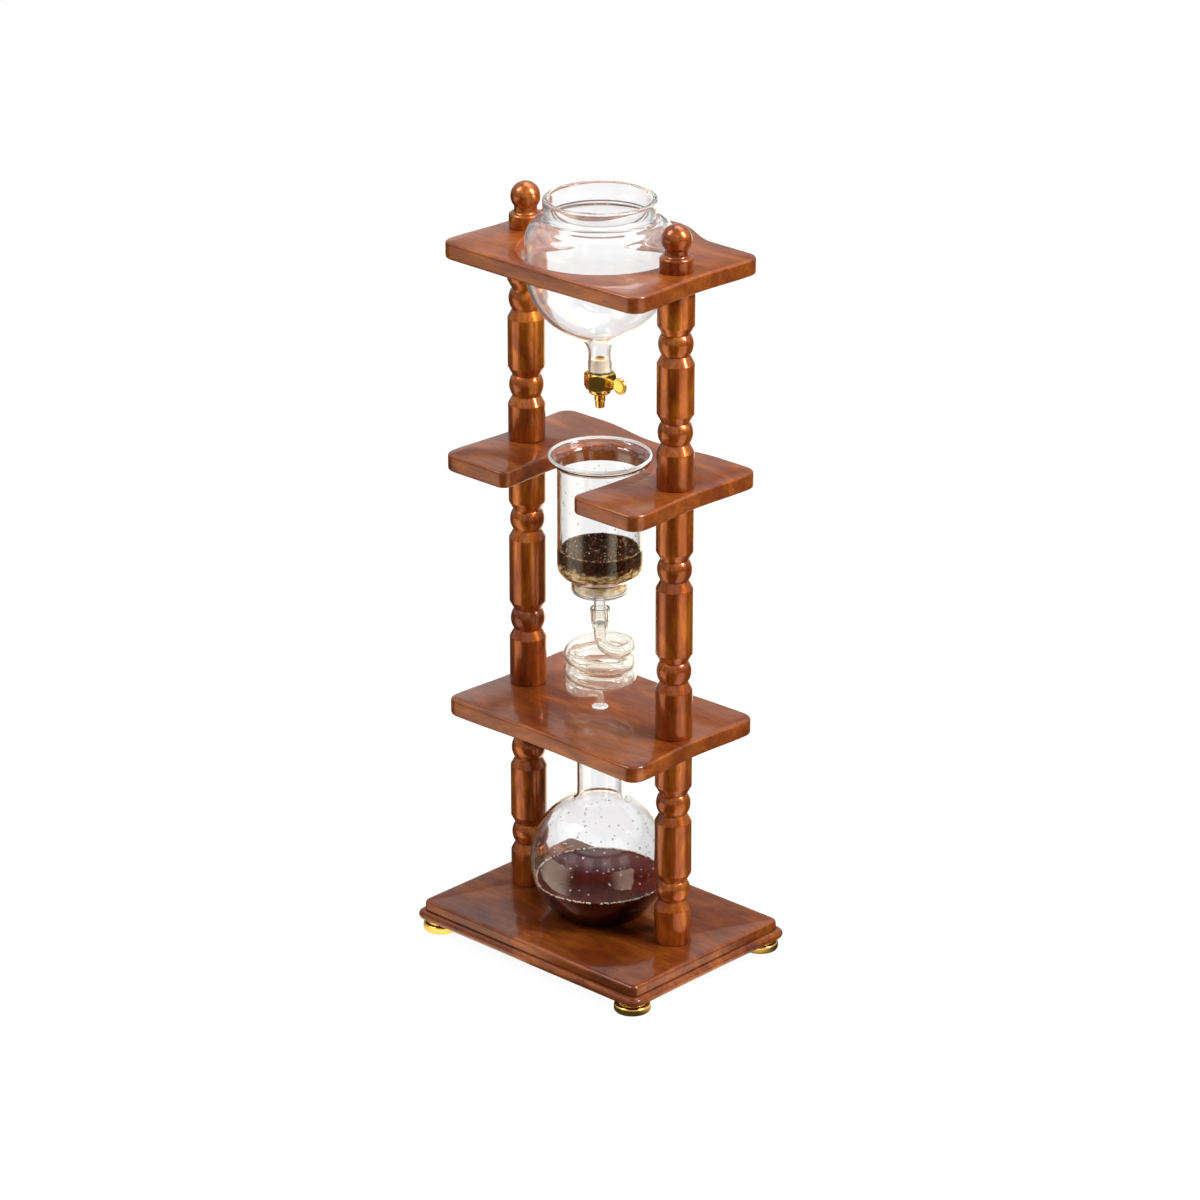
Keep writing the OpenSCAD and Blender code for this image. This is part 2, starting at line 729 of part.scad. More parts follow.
module brew_chamber() {
    stem_r = chamber_stem_d / 2;
    rim_r = chamber_rim_d / 2;
    flare_r = slot_w / 2 - 1.5;
    lip_r = rim_r - lip_t / 2;
    inner = chamber_side(chamber_wall);
    color(GLASS) difference() {
        rotate_extrude($fn = round_fn) polygon(concat(
            [[stem_r - 1.8, chamber_stem_end_z],
                [stem_r, chamber_stem_end_z],
                [stem_r, chamber_floor_z]],
            chamber_side(0),
            curve([chamber_d / 2, middle_top - 3],
                [chamber_d / 2 + 1, middle_top - 0.2],
                [flare_r, middle_top], 4),
            [[lip_r, middle_top]],
            arc([lip_r, middle_top + lip_t / 2], lip_t / 2, lip_t / 2,
                -80, 90, 8),
            curve([lip_r - 2, chamber_rim_z - 0.5],
                [chamber_d / 2 - chamber_wall, middle_top + 3],
                [chamber_d / 2 - chamber_wall, middle_top - 4], 6),
            reversed(inner),
            [[stem_r - 1.8, chamber_floor_z + chamber_wall]]));
    }
}

plate_z = chamber_floor_z + chamber_wall;
pad_z = plate_z + plate_t;
bed_z = pad_z + pad_t;

// a plate as wide as the chamber's step allows, with its floor's rounding
module filter_plate() {
    r = chamber_step_d / 2 - chamber_wall - seat_gap;
    color("gainsboro") translate([0, 0, plate_z]) difference() {
        rotate_extrude($fn = round_fn)
            polygon([[0, 0], [r - 4, 0], [r - 1.2, 1.2], [r, plate_t],
                [0, plate_t]]);
        for (ring = [1:3], k = [0:6 * ring - 1])
            rotate([0, 0, k * 60 / ring]) translate([ring * 5, 0, -cut])
                cylinder(d = 1.6, h = plate_t + 2 * cut, $fn = 16);
    }
}

module filter_pad() {
    color(CREAM) translate([0, 0, pad_z])
        cylinder(d = chamber_step_d - 2 * chamber_wall - 2 * seat_gap,
            h = pad_t, $fn = round_fn);
}

module coffee_bed() {
    i = chamber_wall + seat_gap;
    r = chamber_d / 2 - i;
    s = chamber_step_d / 2 - i;
    color(COFFEE) rotate_extrude($fn = round_fn) polygon(concat(
        [[0, bed_z], [s, bed_z], [s, chamber_step_z - 1]],
        curve([s + 0.6, chamber_step_z + i * 0.3 + 0.3],
            [r, chamber_step_z + 2 + i * 0.6 + 0.3],
            [r, chamber_shoulder_z + i * 0.2 + 0.3], 8),
        [[r, bed_z + bed_h], [0, bed_z + bed_h]]));
}

// ---- glass coil ----------------------------------------------------------

socket_top_z = chamber_stem_end_z + stem_entry;
socket_end_z = socket_top_z - socket_l;
socket_bore_d = chamber_stem_d + 2 * socket_clear;
coil_bottom_z = lower_top + coil_end_h;
coil_top_z = coil_bottom_z + coil_pitch * coil_turns;
coil_end_a = 230;                       // where the bottom turn leaves
coil_start_a = coil_end_a - 360 * coil_turns;
flange_t = 2;

// a cubic curve's point and the points along it
function bezier(p, q, r, s, t) = let (u = 1 - t)
    u * u * u * p + 3 * u * u * t * q + 3 * u * t * t * r + t * t * t * s;
function helix(a, z) = [coil_r * cos(a), coil_r * sin(a), z];
function tangent(a) =
    let (k = coil_pitch / (2 * PI * coil_r)) [-sin(a), cos(a), -k];

turn_rings = 24;    // rings of the tube in one turn
lead_rings = 12;    // rings of each lead, in and out
tube_sides = 6;
tube_seat_z = chamber_stem_end_z - 3.5; // where the tube meets the socket
lead_in_start = [0, 0, tube_seat_z - coil_tube_d];
lead_in_end = helix(coil_start_a, coil_top_z);
lead_out_start = helix(coil_end_a, coil_bottom_z);
lead_out_end = [0, 0, lower_top + outlet_d + 1.5];
turn_steps = round(turn_rings * coil_turns);

coil_path = concat(
    [[0, 0, tube_seat_z]],
    [for (i = [0:lead_rings - 1]) bezier(lead_in_start,
        lead_in_start - [0, 0, 9], lead_in_end - 24 * tangent(coil_start_a),
        lead_in_end, i / lead_rings)],
    [for (i = [0:turn_steps]) let (t = i / turn_steps)
        helix(coil_start_a + 360 * coil_turns * t,
            coil_top_z - coil_pitch * coil_turns * t)],
    [for (i = [1:lead_rings]) bezier(lead_out_start,
        lead_out_start + 22 * tangent(coil_end_a),
        lead_out_end + [0, 0, 11], lead_out_end, i / lead_rings)],
    [[0, 0, lower_top + flange_t / 2]]);
ring_count = len(coil_path);

// the tube narrows from the coil to the outlet along the last lead
function tube_r(i) = let (
    n0 = ring_count - lead_rings - 2,
    t = min(1, max(0, (i - n0) / (lead_rings * 0.8))))
    coil_tube_d / 2 + (outlet_d - coil_tube_d) / 2 * t * t * (3 - 2 * t);

function unit(v) = v / norm(v);
function direction(i) = unit(coil_path[min(i + 1, ring_count - 1)]
    - coil_path[max(i - 1, 0)]);
// a side vector carried along the path without twisting
function side_vectors(i, v, out) = i == ring_count ? out :
    let (d = direction(i), w = unit(v - (v * d) * d))
        side_vectors(i + 1, w, concat(out, [w]));
ring_sides = side_vectors(0, [1, 0, 0], []);

function ring_points(i) = let (d = direction(i), a = ring_sides[i],
    b = cross(d, a), r = tube_r(i))
    [for (k = [0:tube_sides - 1]) let (w = 360 * k / tube_sides)
        coil_path[i] + r * (cos(w) * a + sin(w) * b)];

module coil_tube() {
    n = tube_sides;
    points = [for (i = [0:ring_count - 1]) each ring_points(i)];
    walls = [for (i = [0:ring_count - 2], k = [0:n - 1]) let (
        a = i * n + k, b = i * n + (k + 1) % n, c = a + n, d = b + n)
        each [[a, c, b], [b, c, d]]];
    last = (ring_count - 1) * n;
    caps = [for (k = [1:n - 2]) each
        [[0, k, k + 1], [last, last + k + 1, last + k]]];
    polyhedron(points, concat(walls, caps));
}

// least distance between tube surfaces more than a quarter turn apart
apart = 10;
gap_to_itself = min([for (i = [0:ring_count - 1])
    for (j = [i + apart:1:ring_count - 1])
        let (d = norm(coil_path[i] - coil_path[j]))
            d - tube_r(i) - tube_r(j)]);
echo(coil_gap_to_itself = gap_to_itself);

module spiral_coil() {
    color(GLASS) union() {
        coil_tube();
        translate([0, 0, lower_top])
            cylinder(d = flange_d, h = flange_t, $fn = small_fn);
    }
}

module coil_socket() {
    r = socket_d / 2;
    b = socket_bore_d / 2;
    neck_r = coil_tube_d / 2 + 1.4;
    color(GLASS) difference() {
        rotate_extrude($fn = round_fn) polygon(concat(
            [[0, socket_end_z + 1], [neck_r, socket_end_z + 1],
                [r - 0.4, socket_end_z + socket_l * 0.5],
                [r, socket_end_z + socket_l * 0.7]],
            arc([(r + b) / 2, socket_top_z - 0.9], (r - b) / 2, 0.9,
                0, 180, 8),
            [[b, chamber_stem_end_z - 1.4], [b - 2, chamber_stem_end_z - 2.4],
                [0, chamber_stem_end_z - 2.4]]));
        translate([0, 0, socket_end_z - cut])
            cylinder(d = coil_tube_d + 2 * fit_gap,
                h = tube_seat_z - socket_end_z + cut, $fn = small_fn);
    }
}

// ---- flask ---------------------------------------------------------------

flask_z = base_top + flask_centre_h;
flask_top_z = base_top + flask_h;
flask_foot_r = sqrt(pow(flask_d / 2, 2) - pow(flask_centre_h, 2)) + 1.5;
flask_lip_r = flask_neck_d / 2 + 3;
neck_flare = 4;     // how far outside the neck the bulb's curve ends

// the flask's outline from its foot to the neck, drawn in by i
function flask_side(i, from = -90) = let (
    r = flask_d / 2, n = flask_neck_d / 2, m = n + neck_flare,
    a0 = max(from, -asin((flask_centre_h - 5) / r)), a1 = acos(m / r),
    z1 = flask_z + sqrt(r * r - m * m))
    concat(
        [for (k = [0:24]) let (a = a0 + (a1 - a0) * k / 24)
            [(r - i) * cos(a), flask_z + (r - i) * sin(a)]],
        curve([m - i * 0.5, z1 - i * 0.8], [n - i, z1 + 2],
            [n - i, z1 + 7], 5));

module flask() {
    n = flask_neck_d / 2;
    foot = curve([flask_foot_r - 3, base_top],
        [flask_foot_r + 2, base_top], flask_side(0)[0], 5);
    inner_foot = curve([flask_foot_r - 6, base_top + flask_wall],
        [flask_foot_r, base_top + flask_wall],
        flask_side(flask_wall)[0], 5);
    color(GLASS) rotate_extrude($fn = round_fn) polygon(concat(
        [[0, base_top]], foot, flask_side(0),
        [[n, flask_top_z - 4], [flask_lip_r - 1, flask_top_z - 3]],
        arc([flask_lip_r - 1.5, flask_top_z - 1.5], 1.5, 1.5, -30, 90, 5),
        [[n - flask_wall + 1.5, flask_top_z],
            [n - flask_wall, flask_top_z - 2]],
        reversed(flask_side(flask_wall)), reversed(inner_foot),
        [[0, base_top + flask_wall]]));
}

module brewed_coffee() {
    i = flask_wall + seat_gap;
    r = flask_d / 2 - i;
    z0 = base_top + flask_wall + 0.05;
    z1 = base_top + coffee_level;
    a0 = -asin((flask_centre_h - 5) / (flask_d / 2));
    a1 = -asin((flask_z - z1) / r);
    start = [r * cos(a0), flask_z + r * sin(a0)];
    color(COFFEE) rotate_extrude($fn = round_fn) polygon(concat(
        [[0, z0]],
        curve([flask_foot_r - 6.6, z0], [flask_foot_r - 1.2, z0 + 0.1],
            start, 5),
        [for (k = [1:14]) let (a = a0 + (a1 - a0) * k / 14)
            [r * cos(a), flask_z + r * sin(a)]],
        [[0, z1]]));
}

base_board();
lower_shelf();
middle_shelf();
top_shelf();
spindle_at(-1, base_top, lower_spindle_l, spindle_end[0]);  // left_lower_spindle
spindle_at(1, base_top, lower_spindle_l, spindle_end[0]);  // right_lower_spindle
spindle_at(-1, lower_top, middle_spindle_l, spindle_end[1]);  // left_middle_spindle
spindle_at(1, lower_top, middle_spindle_l, spindle_end[1]);  // right_middle_spindle
spindle_at(-1, middle_top, upper_spindle_l, spindle_end[2]);  // left_upper_spindle
spindle_at(1, middle_top, upper_spindle_l, spindle_end[2]);  // right_upper_spindle
finial(-1);  // left_finial
finial(1);  // right_finial
spindle_studs();
thread_inserts();
base_bolts();
base_washers();
feet();
foot_screws();
foot_pads();
water_globe();
stem_sleeve();
tap_tail();
tap_gasket();
tap_body();
tap_nozzle();
key_o_ring();
tap_key();
brew_chamber();
filter_plate();
filter_pad();
coffee_bed();
coil_socket();
spiral_coil();
flask();
brewed_coffee();
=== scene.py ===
# %% [markdown]
# # A cold drip coffee tower
# Two turned columns carry three boards, and four pieces of glass hang or
# stand between them: a globe for water, a chamber for the grounds, a coil
# and a flask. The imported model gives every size. This lesson gives each
# piece the shape and finish that the eye expects of it.

import math
import random

import bmesh
import bpy
from mathutils import Matrix, Vector, noise
from mathutils.geometry import interpolate_bezier


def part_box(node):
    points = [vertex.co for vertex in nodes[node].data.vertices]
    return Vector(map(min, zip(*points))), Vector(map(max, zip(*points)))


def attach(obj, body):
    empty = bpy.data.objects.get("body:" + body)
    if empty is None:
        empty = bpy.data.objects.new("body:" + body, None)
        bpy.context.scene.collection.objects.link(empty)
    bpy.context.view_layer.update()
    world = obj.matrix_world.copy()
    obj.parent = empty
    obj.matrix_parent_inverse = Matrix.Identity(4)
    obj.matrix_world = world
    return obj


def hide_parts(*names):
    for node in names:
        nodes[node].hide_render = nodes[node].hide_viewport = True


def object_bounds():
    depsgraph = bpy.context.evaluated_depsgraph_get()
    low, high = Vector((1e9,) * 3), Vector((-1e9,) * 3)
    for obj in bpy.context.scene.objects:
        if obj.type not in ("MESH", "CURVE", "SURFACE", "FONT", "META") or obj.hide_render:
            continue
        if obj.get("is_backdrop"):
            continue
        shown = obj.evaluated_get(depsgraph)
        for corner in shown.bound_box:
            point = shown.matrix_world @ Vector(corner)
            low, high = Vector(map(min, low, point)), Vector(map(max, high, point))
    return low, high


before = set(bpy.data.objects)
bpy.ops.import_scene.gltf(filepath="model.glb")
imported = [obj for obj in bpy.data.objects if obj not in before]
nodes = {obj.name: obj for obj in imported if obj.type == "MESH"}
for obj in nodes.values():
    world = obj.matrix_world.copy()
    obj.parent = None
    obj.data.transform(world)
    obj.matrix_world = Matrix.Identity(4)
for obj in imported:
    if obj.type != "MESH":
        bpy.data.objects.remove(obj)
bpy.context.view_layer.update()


def in_scene(name, data):
    """A new object with that name and data, in the scene."""
    made = bpy.data.objects.new(name, data)
    bpy.context.scene.collection.objects.link(made)
    return made


# %% [markdown]
# ## The camera
# The object was photographed from its front right with a long lens, so lines
# that run away from us stay nearly parallel. A camera is an object like any
# other: it looks along its own -Z, so it is turned until -Z meets the aim.

# %% Camera
LENS = 146.73  # mm, on a sensor 36 mm wide
CAMERA_PLACE = Vector((2.6530, -2.8139, 1.9011))
CAMERA_AIM = Vector((0.0461, -0.0490, 0.3480))

camera_data = bpy.data.cameras.new("camera")
camera_data.lens = LENS
camera = in_scene("camera", camera_data)
camera.location = CAMERA_PLACE
camera.rotation_euler = (CAMERA_AIM - CAMERA_PLACE).to_track_quat("-Z", "Y").to_euler()
bpy.context.scene.camera = camera
bpy.context.scene.view_settings.view_transform = "Standard"
print("camera", round((CAMERA_AIM - CAMERA_PLACE).length, 2), "m away")

# %% [markdown]
# ## Writing shaders as sums
# A shader is a graph of small nodes. Typing each node and link by hand is
# slow to read, so a wire is wrapped in a class with the usual signs: a sum
# of two wires adds a Math node.


# %% Wires
class Wire:
    """One output of a node, which can be used in sums."""

    def __init__(self, finish, socket):
        self.finish = finish
        self.socket = socket

    def sum(self, operation, *terms):
        return self.finish.node(
            "Math", dict(enumerate(terms)), operation=operation, use_clamp=False
        )

    def __add__(self, other):
        return self.sum("ADD", self, other)

    def __radd__(self, other):
        return self.sum("ADD", other, self)

    def __sub__(self, other):
        return self.sum("SUBTRACT", self, other)

    def __rsub__(self, other):
        return self.sum("SUBTRACT", other, self)

    def __mul__(self, other):
        return self.sum("MULTIPLY", self, other)

    def __rmul__(self, other):
        return self.sum("MULTIPLY", other, self)

    def max(self, other):
        return self.sum("MAXIMUM", self, other)

    def step(self, low, high, start=0.0, end=1.0):
        """start below low, end above high, and smooth between them."""
        return self.finish.node(
            "MapRange",
            {"Value": self, "From Min": low, "From Max": high, "To Min": start, "To Max": end},
            interpolation_type="SMOOTHSTEP",
        )


print("wires can be added")

# %% [markdown]
# A finish is a material, or the world. Each of its nodes comes from one
# method, which sets its settings first and then feeds its inputs.


# %% Finishes
def darker(colour, share):
    return tuple(part * share for part in colour)


class Finish:
    """A material, or the world, and the nodes that make it."""

    def __init__(self, name, owner=None):
        self.owner = owner or bpy.data.materials.new(name)
        self.owner.use_nodes = True
        self.tree = self.owner.node_tree
        self.tree.nodes.clear()

    def node(self, kind, values=(), out=0, stops=(), **settings):
        made = self.tree.nodes.new("ShaderNode" + kind)
        for name, setting in settings.items():
            setattr(made, name, setting)
        if stops:
            elements = made.color_ramp.elements
            elements.remove(elements[-1])
            elements[0].position, elements[0].color = stops[0][0], (*stops[0][1], 1)
            for place, colour in stops[1:]:
                elements.new(place).color = (*colour, 1)
        for name, value in dict(values).items():
            socket = made.inputs[name]
            if isinstance(value, Wire):
                self.tree.links.new(value.socket, socket)
            elif isinstance(value, tuple) and socket.type == "RGBA":
                socket.default_value = (*value, 1)
            else:
                socket.default_value = value
        return Wire(self, made.outputs[out])

    def blend(self, share, first, second):
        """Two colours, the second one by that share."""
        return self.node("Mix", {0: share, 6: first, 7: second}, out=2, data_type="RGBA")

    def either(self, share, first, second):
        """Two shaders, the second one by that share."""
        return self.node("MixShader", {0: share, 1: first, 2: second})

    def place(self, scale=(1, 1, 1)):
        """The piece's own coordinates, in metres, stretched."""
        own = self.node("TexCoord", out="Object")
        return self.node("Mapping", {"Vector": own, "Scale": scale})

    def ramp(self, share, *stops):
        return self.node("ValToRGB", {0: share}, stops=stops)

    def mottle(self, vector, scale, detail=3.0, rough=0.5, warp=0.0):
        values = dict(Vector=vector, Scale=scale, Detail=detail, Roughness=rough, Distortion=warp)
        return self.node("TexNoise", values)

    def bump(self, height, strength, distance):
        values = {"Height": height, "Strength": strength, "Distance": distance}
        return self.node("Bump", values)

    def surface(self, **values):
        """Ends the graph in a Principled shader, whose sockets the values are named after."""
        inputs = {name.replace("_", " "): value for name, value in values.items()}
        return self.show(self.node("BsdfPrincipled", inputs))

    def show(self, shader, kind="Material"):
        end = self.tree.nodes.new("ShaderNodeOutput" + kind)
        self.tree.links.new(shader.socket, end.inputs["Surface"])
        return self.owner


print("finishes are ready")

# %% [markdown]
# ## Lacquered wood
# The wood is stained red-brown and lacquered. Three things make it look so:
# streaks that run along the grain, a slow change of tone over a few
# centimetres, and short dark pores. The lacquer is the shader's coat, which
# reflects the pale room and gives the boards their greyish sheen.


# %% Wood
ALONG_X = (0.10, 1.0, 1.0)
ALONG_Z = (1.0, 1.0, 0.10)
# how many patches, streaks, fibres and pores fit in a metre
CLOUDS, STREAKS, FIBRES, PORES = 38, 330, 1700, 1100


def lacquered_wood(
    name, along, deep, middle, light, fleck, cloudy=0.5, glow=0.35, sheen=0.10, matt=0.34
):
    """Wood from three tones, with its grain along X or Z. Its glow is that of polished fibre."""
    wood = Finish(name)
    grain = wood.place(scale=along)
    eased = tuple(0.4 + 0.6 * part for part in along)
    cloud = wood.mottle(wood.place(scale=eased), CLOUDS, detail=3, warp=0.8)
    streak = wood.mottle(grain, STREAKS, detail=4, rough=0.6)
    fibre = wood.mottle(grain, FIBRES, detail=2)
    streaky = 0.27 * fleck
    tone = cloudy * cloud + streaky * streak + (1 - cloudy - streaky) * 0.5
    colour = wood.ramp(tone, (0.38, deep), (0.5, middle), (0.62, light))
    pore = wood.mottle(grain, PORES, detail=1).step(0.62, 0.70)
    colour = wood.blend(pore * (0.5 * fleck), colour, darker(deep, 0.3))
    relief = 0.6 * streak + 0.4 * fibre - 0.8 * pore
    return wood.surface(
        Base_Color=colour,
        Metallic=glow * (0.7 + 0.6 * cloud),
        Roughness=matt + 0.14 * fibre,
        Normal=wood.bump(relief, 0.06 * fleck, 0.0004),
        Specular_IOR_Level=0.1,
        Coat_Weight=0.8,
        Coat_Roughness=sheen,
        Coat_IOR=1.45,
    )


board_wood = lacquered_wood(
    "lacquered_board",
    ALONG_X,
    deep=(0.115, 0.018, 0.003),
    middle=(0.220, 0.049, 0.006),
    light=(0.350, 0.092, 0.013),
    fleck=0.8,
)
base_wood = lacquered_wood(
    "lacquered_base",
    ALONG_X,
    deep=(0.090, 0.013, 0.002),
    middle=(0.175, 0.037, 0.004),
    light=(0.290, 0.075, 0.010),
    fleck=1.0,
)
turned_wood = lacquered_wood(
    "lacquered_turning",
    ALONG_Z,
    deep=(0.110, 0.014, 0.001),
    middle=(0.290, 0.060, 0.003),
    light=(0.560, 0.175, 0.012),
    fleck=0.8,
    cloudy=0.38,
    glow=0.6,
    sheen=0.09,
    matt=0.25,
)
print("three woods, one recipe")

# %% [markdown]
# ## Glass
# Clear glass is a Principled shader that lets light through. Its walls are
# modelled with their real thickness, because the grey lines at a glass
# edge come from light that is bent inside the wall. A lamp's rays would stop
# at it and leave a black shadow, so for shadow rays alone the shader lets
# light straight through. A faint wave in the surface bends the reflections
# as blown glass does. Haze keeps a share of the surface white: a trace on
# the globe and the coil, and more on the polished lips, where that white
# is a painted shine.


# %% Glass
def blown_glass(name, tint=(1, 1, 1), wave=0.05, scale=30, shade=0.93, bend=1.47, haze=0.0):
    """Glass of that tint. Bend is its index, and shade is what reaches its shadow."""
    glass = Finish(name)
    ripple = glass.mottle(glass.place(), scale, detail=1)
    clear = glass.node(
        "BsdfPrincipled",
        {
            "Base Color": tint,
            "Roughness": 0.0,
            "IOR": bend,
            "Transmission Weight": 1 - haze,
            "Normal": glass.bump(ripple, wave, 0.002),
        },
    )
    open_to_lamps = glass.node("BsdfTransparent", {"Color": (shade, shade, shade)})
    shadow_ray = glass.node("LightPath", out="Is Shadow Ray")
    return glass.show(glass.either(shadow_ray, clear, open_to_lamps))


PALE, GREYISH, AMBER = (0.99, 0.99, 0.995), (0.965, 0.965, 0.97), (1.0, 0.985, 0.94)
globe_glass = blown_glass("globe_glass", GREYISH, wave=0.06, scale=22, haze=0.035)
chamber_glass = blown_glass("chamber_glass", PALE, wave=0.02, scale=26)
coil_glass = blown_glass("coil_glass", AMBER, wave=0.03, scale=60, haze=0.04)
flask_glass = blown_glass("flask_glass", PALE, wave=0.03, scale=20)
# the lips' haze is white that stands in for their shine: a painted highlight
lip_painted_shine = blown_glass("lip_painted_shine", wave=0.0, haze=0.30)
water = blown_glass("water_drops", bend=1.33, wave=0.0, shade=0.97)
print("five glasses and water")

# %% [markdown]
# ## Brass, steel, rubber and silicone
# Polished brass is a metal with a warm colour. Small changes in roughness,
# from handling, keep it from looking like plastic. Rubber and silicone are
# soft and dull, so they get a rough surface with a fine grain.


# %% Metals and soft parts
def metal(name, colour, dull, rough=0.12):
    finish = Finish(name)
    cloud = finish.mottle(finish.place(), 180, detail=4)
    brushed = finish.mottle(finish.place(scale=(1, 1, 12)), 260, detail=2)
    return finish.surface(
        Base_Color=finish.blend(cloud.step(0.45, 0.75, 0, 0.5), colour, dull),
        Metallic=1.0,
        Roughness=rough + 0.12 * cloud,
        Normal=finish.bump(brushed, 0.04, 0.0002),
    )


def moulded(name, colour, rough):
    finish = Finish(name)
    cloud = finish.mottle(finish.place(), 900, detail=3)
    return finish.surface(
        Base_Color=finish.blend(cloud * 0.3, colour, darker(colour, 0.6)),
        Roughness=rough + 0.1 * cloud,
        Normal=finish.bump(cloud, 0.15, 0.0003),
    )


polished_brass = metal("polished_brass", (0.86, 0.56, 0.14), (0.62, 0.36, 0.07))
stud_steel = metal("stud_steel", (0.55, 0.55, 0.56), (0.38, 0.38, 0.40), rough=0.25)
black_rubber = moulded("black_rubber", (0.02, 0.02, 0.02), 0.65)
cream_silicone = moulded("cream_silicone", (0.90, 0.72, 0.50), 0.45)
filter_ceramic = moulded("filter_ceramic", (0.80, 0.76, 0.66), 0.35)
print("brass, steel, rubber, silicone and ceramic")

# %% [markdown]
# ## Coffee
# The grounds are nearly black with brown crumbs, over a layer of golden
# silt. The brewed coffee is so dark that it is opaque at this depth: a
# glossy surface of deep red. The felt filter is stained by it in clouds.


# %% Coffee and filter
SILT_TOP = (0.354, 0.359)  # metres above the table, where silt gives way to grounds


def grounds_finish():
    """Nearly black grounds, and fine golden silt below them."""
    coffee = Finish("wet_grounds")
    crumbs = coffee.mottle(coffee.place(), 700, detail=4, rough=0.7)
    lumps = coffee.mottle(coffee.place(), 150, detail=3)
    dark = coffee.ramp(
        0.6 * crumbs + 0.4 * lumps,
        (0.46, (0.020, 0.006, 0.002)),
        (0.57, (0.075, 0.024, 0.008)),
        (0.68, (0.40, 0.17, 0.05)),
    )
    silt = coffee.ramp(
        coffee.mottle(coffee.place(scale=(1, 1, 2)), 170, detail=4, warp=0.6),
        (0.34, (0.10, 0.03, 0.01)),
        (0.46, (0.52, 0.27, 0.07)),
        (0.60, (0.88, 0.68, 0.36)),
    )
    height = coffee.node("SeparateXYZ", {0: coffee.place()}, out="Z")
    settled = (height + 0.016 * (lumps - 0.5)).step(*SILT_TOP, 1.0, 0.0)
    return coffee.surface(
        Base_Color=coffee.blend(settled, dark, silt),
        Roughness=0.40 + 0.3 * crumbs,
        Normal=coffee.bump(crumbs, 0.9, 0.0012),
        Specular_IOR_Level=0.05,
    )


def brew_finish():
    brew = Finish("brewed_coffee")
    swirl = brew.mottle(brew.place(scale=(1, 1, 2)), 35, detail=2)
    return brew.surface(
        Base_Color=brew.blend(swirl, (0.028, 0.0010, 0.0005), (0.065, 0.0034, 0.0010)),
        Roughness=0.03 + 0.05 * swirl,
        IOR=1.28,
        Specular_Tint=(1.0, 0.50, 0.47),
        Normal=brew.bump(swirl, 0.02, 0.002),
    )


def filter_finish():
    cloth = Finish("filter_fabric")
    weave = cloth.mottle(cloth.place(scale=(1, 1, 3)), 1400, detail=2)
    stain = cloth.mottle(cloth.place(scale=(1, 1, 2.5)), 130, detail=3, warp=0.5)
    return cloth.surface(
        Base_Color=cloth.ramp(
            stain,
            (0.36, (0.30, 0.12, 0.03)),
            (0.46, (0.78, 0.52, 0.20)),
            (0.60, (0.92, 0.80, 0.55)),
        ),
        Roughness=0.6 + 0.2 * weave,
        Normal=cloth.bump(weave, 0.4, 0.0005),
    )


def foam_finish(name, colour):
    foam = Finish(name)
    film = foam.mottle(foam.place(), 500, detail=2)
    return foam.surface(
        Base_Color=foam.blend(film, colour, darker(colour, 0.5)),
        Roughness=0.18 + 0.1 * film,
        Coat_Weight=1.0,
        Coat_Roughness=0.05,
    )


wet_grounds = grounds_finish()
golden_foam = foam_finish("golden_foam", (0.70, 0.42, 0.15))
pale_foam = foam_finish("pale_foam", (0.95, 0.80, 0.62))
brewed_coffee = brew_finish()
filter_fabric = filter_finish()
print("coffee and filter")

# %% [markdown]
# ## A pen for turned pieces
# Nearly every piece here was turned on a lathe or blown while it turned, so
# half of its section says all. The pen draws that section: a line extrudes
# the last point, an arc spins it round a centre, and a bend follows a curve.
# One more spin turns the section into the piece. The pen works in
# millimetres, as a maker's drawing does.

# %% The pen
MM = 0.001


class Pen:
    """Draws a section on the plane Y = 0, as (radius, height) in mm."""

    def __init__(self, radius, height):
        self.bm = bmesh.new()
        self.first = self.tip = self.bm.verts.new((radius, 0, height))

    def line(self, radius, height):
        made = bmesh.ops.extrude_vert_indiv(self.bm, verts=[self.tip])
        self.tip = made["verts"][0]
        self.tip.co = radius, 0, height
        return self

    def arc(self, radius, height, turn, steps=8):
        """Goes round that centre by turn degrees, anticlockwise."""
        made = bmesh.ops.spin(
            self.bm,
            geom=[self.tip],
            cent=(radius, 0, height),
            axis=(0, -1, 0),
            angle=math.radians(turn),
            steps=steps,
            use_duplicate=False,
        )
        self.tip = next(v for v in made["geom_last"] if isinstance(v, bmesh.types.BMVert))
        return self

    def bend(self, corner, end, steps=8):
        """Curves towards corner and on to end."""
        start, corner, end = Vector(self.tip.co.xz), Vector(corner), Vector(end)
        knob, other = start.lerp(corner, 2 / 3), end.lerp(corner, 2 / 3)
        for point in interpolate_bezier(start, knob, other, end, steps + 1)[1:]:
            self.line(point.x, point.y)
        return self

    def turned(self, steps=96, closed=False):
        if closed:
            self.bm.edges.new((self.tip, self.first))
        bmesh.ops.spin(
            self.bm,
            geom=self.bm.verts[:] + self.bm.edges[:],
            cent=(0, 0, 0),
            axis=(0, 0, 1),
            angle=math.tau,
            steps=steps,
            use_merge=True,
            use_duplicate=False,
        )
        bmesh.ops.remove_doubles(self.bm, verts=self.bm.verts, dist=0.001)
        bmesh.ops.recalc_face_normals(self.bm, faces=self.bm.faces)
        return self.bm


def as_mesh(name, bm):
    mesh = bpy.data.meshes.new(name)
    bm.to_mesh(mesh)
    bm.free()
    return mesh


